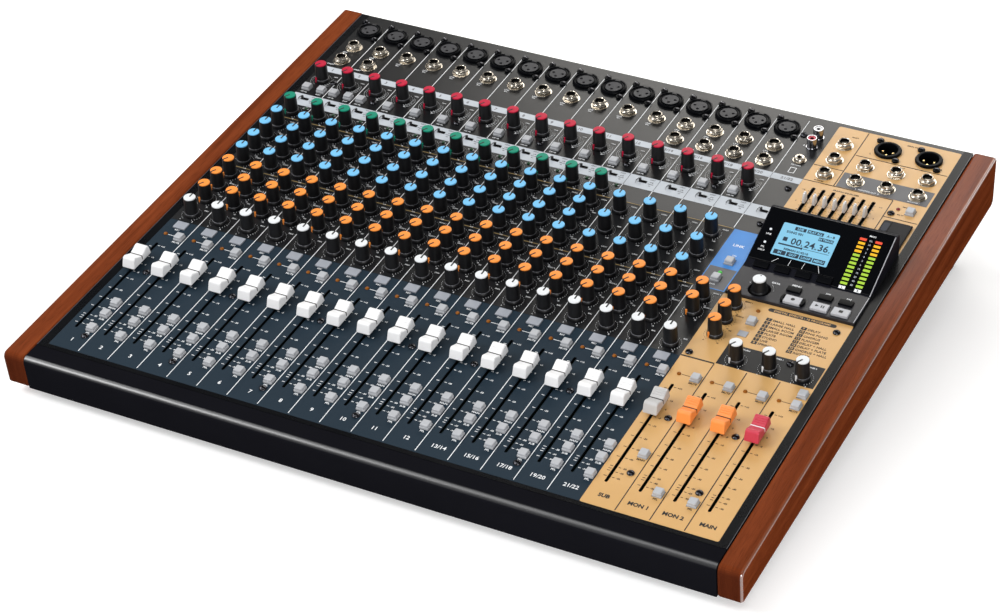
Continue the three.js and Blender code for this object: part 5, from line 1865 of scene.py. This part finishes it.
# %% Window and function keys
strip_top = along(286.2)
window_left = 426.6
window_right = pod_right - 1.4
window_corner = 2.6
corner_row = slope_length - 3.4
quarter = [math.pi / 12 * step for step in range(7)]
rear_corners = ring_points((window_right - window_corner, corner_row), window_corner, quarter)
rear_corners += ring_points((window_left + window_corner, corner_row), window_corner,
                            [math.pi / 2 + turn for turn in quarter])
window_outline = [(window_left, strip_top), (493.5, strip_top), (493.5, 2.2), (window_right, 2.2)]
window_outline += rear_corners
window = softened(slab([window_outline], -glass, 0), 0.25)
piece("display_window_glass", window, "window_gloss", slot="black_glass",
      stands_for=["display_window"], place=slope)
key_bed = block((window_left, along(277.9), -glass), (493.2, strip_top - 0.3, -0.35), 0.2, 1)
piece("function_key_bed", key_bed, "bed_black", place=slope)
function_key = block((-5.9, -2.9, -0.4), (5.9, 2.9, 1.2), 0.5, 2)
function_key_places = [(438.5 + 16.4 * index, along(282.3)) for index in range(4)]
copies("function_keys", function_key, function_key_places, "socket_black", slot="black_plastic", place=slope)
print("function keys", len(function_key_places))

# %% [markdown]
# ## Screen and lights
# The liquid crystal screen and the level lights are thin plates on the slope. They are lit from inside, so
# they glow a little. The screen shows dark blocks and words, some blocks with pale words on them, and fine
# lines lead from it to the four keys.

# %% Screen
screen_left = 440.8
screen_right = 484.7
screen_low = along(293)
screen_high = along(321.4)
screen_top = 0.1
screen = slab([rounded(screen_left, screen_low, screen_right, screen_high, 1.0)], 0, screen_top)
piece("screen", screen, "screen_glow", place=slope)
low_blocks = [(445.2, 13.8, 448.5, 17.3), (443.3, 10, 461.2, 11.2), (461.2, 9.4, 461.9, 11.8),
              (461.9, 10.5, 482.5, 10.8)]
high_blocks = [(450.6, 4.8, 459.2, 1.8), (460.4, 4.8, 472.8, 1.8), (470.5, 9.1, 482, 6)]
key_blocks = (442.4, 452.6, 462.8, 473)
screen_parts = [bar(left, screen_low + low, right, screen_low + high, screen_top)
                for left, low, right, high in low_blocks]
screen_parts += [bar(left, screen_high - low, right, screen_high - high, screen_top)
                 for left, low, right, high in high_blocks]
screen_parts += [bar(left, screen_low + 1.2, left + 9.4, screen_low + 5, screen_top) for left in key_blocks]
piece("screen_blocks", screen_parts, "screen_ink", place=slope)
print("screen", round(screen_right - screen_left, 1), "by", round(screen_high - screen_low, 1), "mm")

# %% Words on the screen
digit_row = screen_low + 15.3
digits = [(text, u, digit_row, 5.9) for text, u in (("00", 455.6), ("24", 466.2), ("36", 476.8))]
unit_row = screen_low + 13.1
screen_words = [(text, u, unit_row, 1.8) for text, u in (("h", 460.6), ("m", 471.3), ("s", 482))]
screen_words += [
    ("SONG 001", 452, screen_high - 7.4, 2.1), ("A - B", 478.6, screen_high - 3.3, 2.1),
    ("REMAIN 01:42:10", 458.5, screen_low + 7, 1.9),
]
key_titles = (("IN", 447.1), ("OUT", 457.3), ("LOOP", 467.5), ("MENU", 477.7))
key_words = [(text, u, screen_low + 3.1, 2) for text, u in key_titles]
key_words += [
    ("LIVE", 454.9, screen_high - 3.3, 1.9), ("PLAY ALL", 466.6, screen_high - 3.3, 1.9),
    ("24 TRACK", 476.3, screen_high - 7.5, 1.8),
]
piece("screen_digits", words(digits, screen_top, medium), "screen_ink", place=slope)
piece("screen_words", words(screen_words, screen_top, bold), "screen_ink", place=slope)
piece("screen_key_words", words(key_words, screen_top + print_height, bold), "screen_glow", place=slope)
print("words on the screen", len(digits) + len(screen_words) + len(key_words))

# %% Lines from the screen to the keys
leader_feet = [(444.6, 4.3, 3.9), (457.4, 5.4, 0.6), (467.9, 5.5, 0.8), (481.6, 6.1, -2.8)]
leaders = []
for u, length, lean in leader_feet:
    line = block((-0.15, 0, 0), (0.15, math.hypot(lean, length), print_height))
    leaders.append(shifted(line, u, strip_top + 0.6, turn=-math.atan2(lean, length)))
piece("leader_lines", leaders, "white_ink", place=slope)
print("leader lines", len(leaders))

# %% Level lights
level_steps = 12
level_first = 284.2
level_last = 323
level_columns = (501.8, 513.8)
level_rows = [along(level_first + (level_last - level_first) * step / (level_steps - 1))
              for step in range(level_steps)]
level_light = block((-2.6, -1.05, 0), (2.6, 1.05, 0.35), 0.12, 1)
levels = {"green": range(8), "amber": range(8, 11), "red": range(11, 12)}
for tint, steps in levels.items():
    spots = [(u, level_rows[step]) for u in level_columns for step in steps]
    copies(f"level_lights_{tint}", level_light, spots, tint + "_light", place=slope)
status_column = 433.3
status_spots = [(status_column, along(313)), (status_column, along(301.5))]
status_light = turned([(0, 0), (1.0, 0), (0.9, 0.25), (0, 0.35)], steps=16)
copies("status_lights", status_light, status_spots, "white_light", place=slope)
print("level lights", len(level_columns) * level_steps)

# %% Words beside the lights
between_columns = 507.8
level_numbers = ["60", "40", "20", "15", "10", "6", "3", "0", "3", "6", "10", "OL"]
scale_texts = [(text, between_columns, v, 1.5) for text, v in zip(level_numbers, level_rows)]
piece("level_numbers", words(scale_texts), "pale_print", place=slope)
status_words = (("LINE", 308.9), ("PFL", 297.4), ("SOLO", 294.6))
window_texts = [(text, status_column, along(v), 1.5) for text, v in status_words]
window_texts += [("MAIN", between_columns, along(327), 1.5)]
piece("window_words", words(window_texts), "white_ink", place=slope)
tag_row = along(280.6)
tags = [bar(u - 2.5, tag_row - 1.3, u + 2.5, tag_row + 1.3) for u in level_columns]
tag_letters = [(text, u, tag_row, 1.8) for text, u in zip(("L", "R"), level_columns)]
piece("level_tags", tags, "white_ink", place=slope)
piece("level_tag_letters", words(tag_letters, print_height), "black_ink", place=slope)
print("words in the window", len(scale_texts) + len(window_texts))

# %% Painted highlight along the pod's edge
# The pale strips down the pod's right edge and along the shelf are a painted highlight, where that chamfered
# edge catches the light.
edge_left = pod_right - 1.0
edge_right = pod_right - 0.45
pod_highlight_strip = block((edge_left, 1.0, -0.8), (edge_right, slope_length - 2, 0.05), 0.1, 1)
shelf_highlight_strip = block((edge_left, pod_front + 0.4, pod_low - 0.4), (edge_right, pod_break, pod_low + 0.1),
                    0.1, 1)
piece("pod_edge_strip", pod_highlight_strip, "silver_edge_highlight", place=slope)
piece("shelf_edge_strip", shelf_highlight_strip, "silver_edge_highlight")
print("silver edge", round(edge_right - edge_left, 2), "mm wide")

# %% [markdown]
# ## Keys and dial
# The three transport keys sink on stems, and each bears its symbol. Two curved guards stand beside the
# record key, so that no one presses it by chance. The jog dial is a small ribbed knob on a shaft, with a dot
# off its middle that shows how far it has turned.

# %% Transport keys
mark_low = 4.3
mark_high = 4.48
transport_key = block((-key_width / 2, -key_length / 2, 1.0), (key_width / 2, key_length / 2, 4.4), 0.5, 3)
key_stem = block((-1.5, -1.5, -12.4), (1.5, 1.5, 1.2), 0.1, 1)
symbols = {
    "record_key": turned([(0, mark_low), (1.5, mark_low), (1.5, mark_high), (0, mark_high)], steps=20),
    "play_key": gathered([
        slab([[(-3.4, -1.4), (-0.9, 0), (-3.4, 1.4)]], mark_low, mark_high),
        block((0.9, -1.4, mark_low), (1.7, 1.4, mark_high)),
        block((2.5, -1.4, mark_low), (3.3, 1.4, mark_high)),
    ]),
    "stop_key": block((-1.5, -1.4, mark_low), (1.5, 1.4, mark_high)),
}
for name, at in key_places.items():
    cap = shifted(transport_key, *at)
    piece(name + "_cap", cap, "transport_plastic", body=name, slot="key_plastic", stands_for=[name])
    piece(name + "_stem", shifted(key_stem, *at), "black_plastic", body=name)
    piece(name + "_symbol", shifted(symbols[name], *at), "black_ink", body=name)
print("transport keys", len(key_places))

# %% Guards and small keys
guard_turns = [math.radians(30) * (step / 5 - 1) for step in range(11)]
guard_outline = ring_points((0, 0), 9.3, guard_turns) + ring_points((0, 0), 7.1, reversed(guard_turns))
guard = softened(slab([guard_outline], pod_low - 0.1, 4.4), 0.5)
guards = [shifted(guard, *key_places["record_key"], turn=turn) for turn in (0, math.pi)]
piece("record_key_guards", guards, "socket_black", slot="black_plastic")
small_key = block((-5.5, -3, pod_low - 0.2), (5.5, 3, 4.1), 0.5, 2)
small_key_places = [(471.3, 264.6), (495.6, 264.6), (511.3, 264.6)]
copies("small_keys", small_key, small_key_places, "socket_black", slot="black_plastic")
shelf_words = [("MENU", 471.3, 270.3, 1.9), ("|<<", 495.6, 270.3, 1.9), (">>|", 511.3, 270.3, 1.9),
               ("-", 438.4, 262, 2), ("DATA", 456.2, 267.6, 1.7)]
piece("shelf_words", words(shelf_words, pod_low, bold), "white_ink")
print("small keys", len(small_key_places))

# %% Jog dial
dial_arc = {"Radius": 10.6, "Sweep": math.radians(40), "Middle": math.radians(30), "Count": 16, "Length": 0.5,
            "Width": 0.7}
piece("dial_arc", arcs([dial_place], "white_ink", pod_low, dial_arc), "white_ink")
dial_body = turned([
    (0, 0.9), (6.5, 0.9), (6.5, 2.4), (6.1, 3.0), (5.9, 3.4, 1), (5.0, 11.2, 1), (4.95, 11.6), (0, 11.6),
], steps=36, flute_depth=0.22)
dial_stem = turned([(0, lever_foot), (2.7, lever_foot), (2.7, 1.2), (0, 1.2)], steps=16)
dial_top = turned([(0, 11.5), (4.85, 11.5), (4.85, 12.4), (4.6, 12.7), (0, 12.8)], steps=36)
dial_dot = turned([(0, 12.6), (0.5, 12.6), (0.5, 12.86), (0, 12.86)], steps=12)
dot_place = (dial_place[0], dial_place[1] + 3.2)
dial = [shifted(dial_body, *dial_place), shifted(dial_stem, *dial_place)]
piece("jog_dial_body", dial, "knob_plastic", body="jog_dial", slot="black_plastic", stands_for=["jog_dial"])
piece("jog_dial_top", shifted(dial_top, *dial_place), "white_cap", body="jog_dial")
piece("jog_dial_dot", shifted(dial_dot, *dot_place), "black_ink", body="jog_dial")
print("dial at", dial_place)

# %% [markdown]
# ## Card flap
# The flap over the card slot swings on a pin along its right edge. Its finger recess at the left is so
# shallow that a thin patch stands for it, paler and bluish: a painted reflection in the recess. The pin is
# turned upright like every round part, and then laid along the edge.

# %% Card flap
cover_left = 500.5
cover_right = 523
cover_front = 341
cover_rear = 372.5
cover_base = 0.3
flap_top = cover_base + 2
pin_radius = 1
pin_front = cover_front + 0.3
pin_rear = cover_rear - 0.3
flap_outline = rounded(cover_left, cover_front, cover_right - 1.2, cover_rear, 2.0)
flap = softened(slab([flap_outline], cover_base, flap_top), 0.35)
pin = turned([(0, pin_front), (pin_radius, pin_front), (pin_radius, pin_rear), (0, pin_rear)], steps=20)
pin.transform(Matrix((
    (1, 0, 0, cover_right - pin_radius), (0, 0, 1, 0), (0, -1, 0, cover_base + pin_radius), (0, 0, 0, 1),
)))
cover = "card_slot_cover"
piece("card_flap", [flap, outward(pin)], "flap_gloss", body=cover, slot="pod_plastic", stands_for=[cover])
# The recess patch is paler and bluish than the flap: a painted reflection in the recess.
recess = slab([rounded(501.8, 358.5, 506.4, 369.5, 1.8)], flap_top - 0.1, flap_top + 0.06)
piece("card_flap_recess", recess, "recess_reflection_blue", body=cover)
seam = block((507.2, cover_front + 0.8, flap_top - 0.1), (507.5, cover_rear - 0.8, flap_top + 0.05))
piece("card_flap_seam", seam, "bore_black", body=cover)
print("flap", cover_right - cover_left, "by", cover_rear - cover_front, "mm")

# %% [markdown]
# ## Power switch
# The rocker in the rear wall rocks by 14 degrees. It is a wedge that meets at a ridge, with the usual two
# marks. It is drawn about its own pivot, which the joint gives, and at rest it lies turned by half of its
# travel.

# %% Power switch
half_rock = math.radians(7)
pivot = joints["power_switch_rock"]["pos_m"]
rocker_turn = Matrix.Translation(Vector(pivot)) @ Matrix.Rotation(half_rock, 4, "X") @ Matrix.Scale(mm, 4)
rocker_outline = [(-4, -8.9), (3.2, -8.9), (4, -8.3), (3.2, 0), (4, 8.3), (3.2, 8.9), (-4, 8.9)]
rocker = softened(side_slab(rocker_outline, -5.9, 5.9), 0.35)
piece("power_rocker", rocker, "black_plastic", body="power_switch", slot="black_plastic",
      stands_for=["power_switch"], place=rocker_turn)
on_mark = block((-0.35, 3.45, 3.2), (0.35, 3.9, 6.4))
off_ring = turned([(1.2, 0), (1.7, 0), (1.7, 0.3), (1.2, 0.3), (1.2, 0)], steps=20)
face_tilt = math.atan2(0.8, 8.3)
off_ring.transform(Matrix.Translation((0, 3.53, -5)) @ Matrix.Rotation(face_tilt - math.pi / 2, 4, "X"))
piece("power_marks", [on_mark, off_ring], "white_ink", body="power_switch", place=rocker_turn)
print("rocker at", [round(value, 3) for value in pivot])

# %% [markdown]
# ## The boards under the panel
# The pieces above stand for the knobs, buttons and sockets that CAD joins to its circuit boards. The boards
# themselves, with their spacers, lie in the tray, and are seen only through a slot.

# %% Circuit boards
board_top = -14
board_thickness = 1.6
spacer_inset = 4.5
boards = {
    "fader_board": (0, 20.3, print_right, 166.6),
    "mono_control_board": (0, 167.2, 299.7, 389.1),
    "master_control_board": (300.3, 167.2, print_right, 396.5),
    "connector_board": (0, 400.5, print_right, 477.7),
}
spacer = turned([(0, board_top - 0.8), (2.4, board_top - 0.8), (2.4, -2.3), (0, -2.3)], steps=12)
for name, (left, front, far, rear) in boards.items():
    plate = block((left, front, board_top - board_thickness), (far, rear, board_top), 0.2, 1)
    corners = [(u, v) for u in (left + spacer_inset, far - spacer_inset)
               for v in (front + spacer_inset, rear - spacer_inset)]
    spacers = [shifted(spacer, u, v) for u, v in corners]
    piece(name + "_plate", [plate] + spacers, "board_green", stands_for=[name])
print("boards", len(boards))
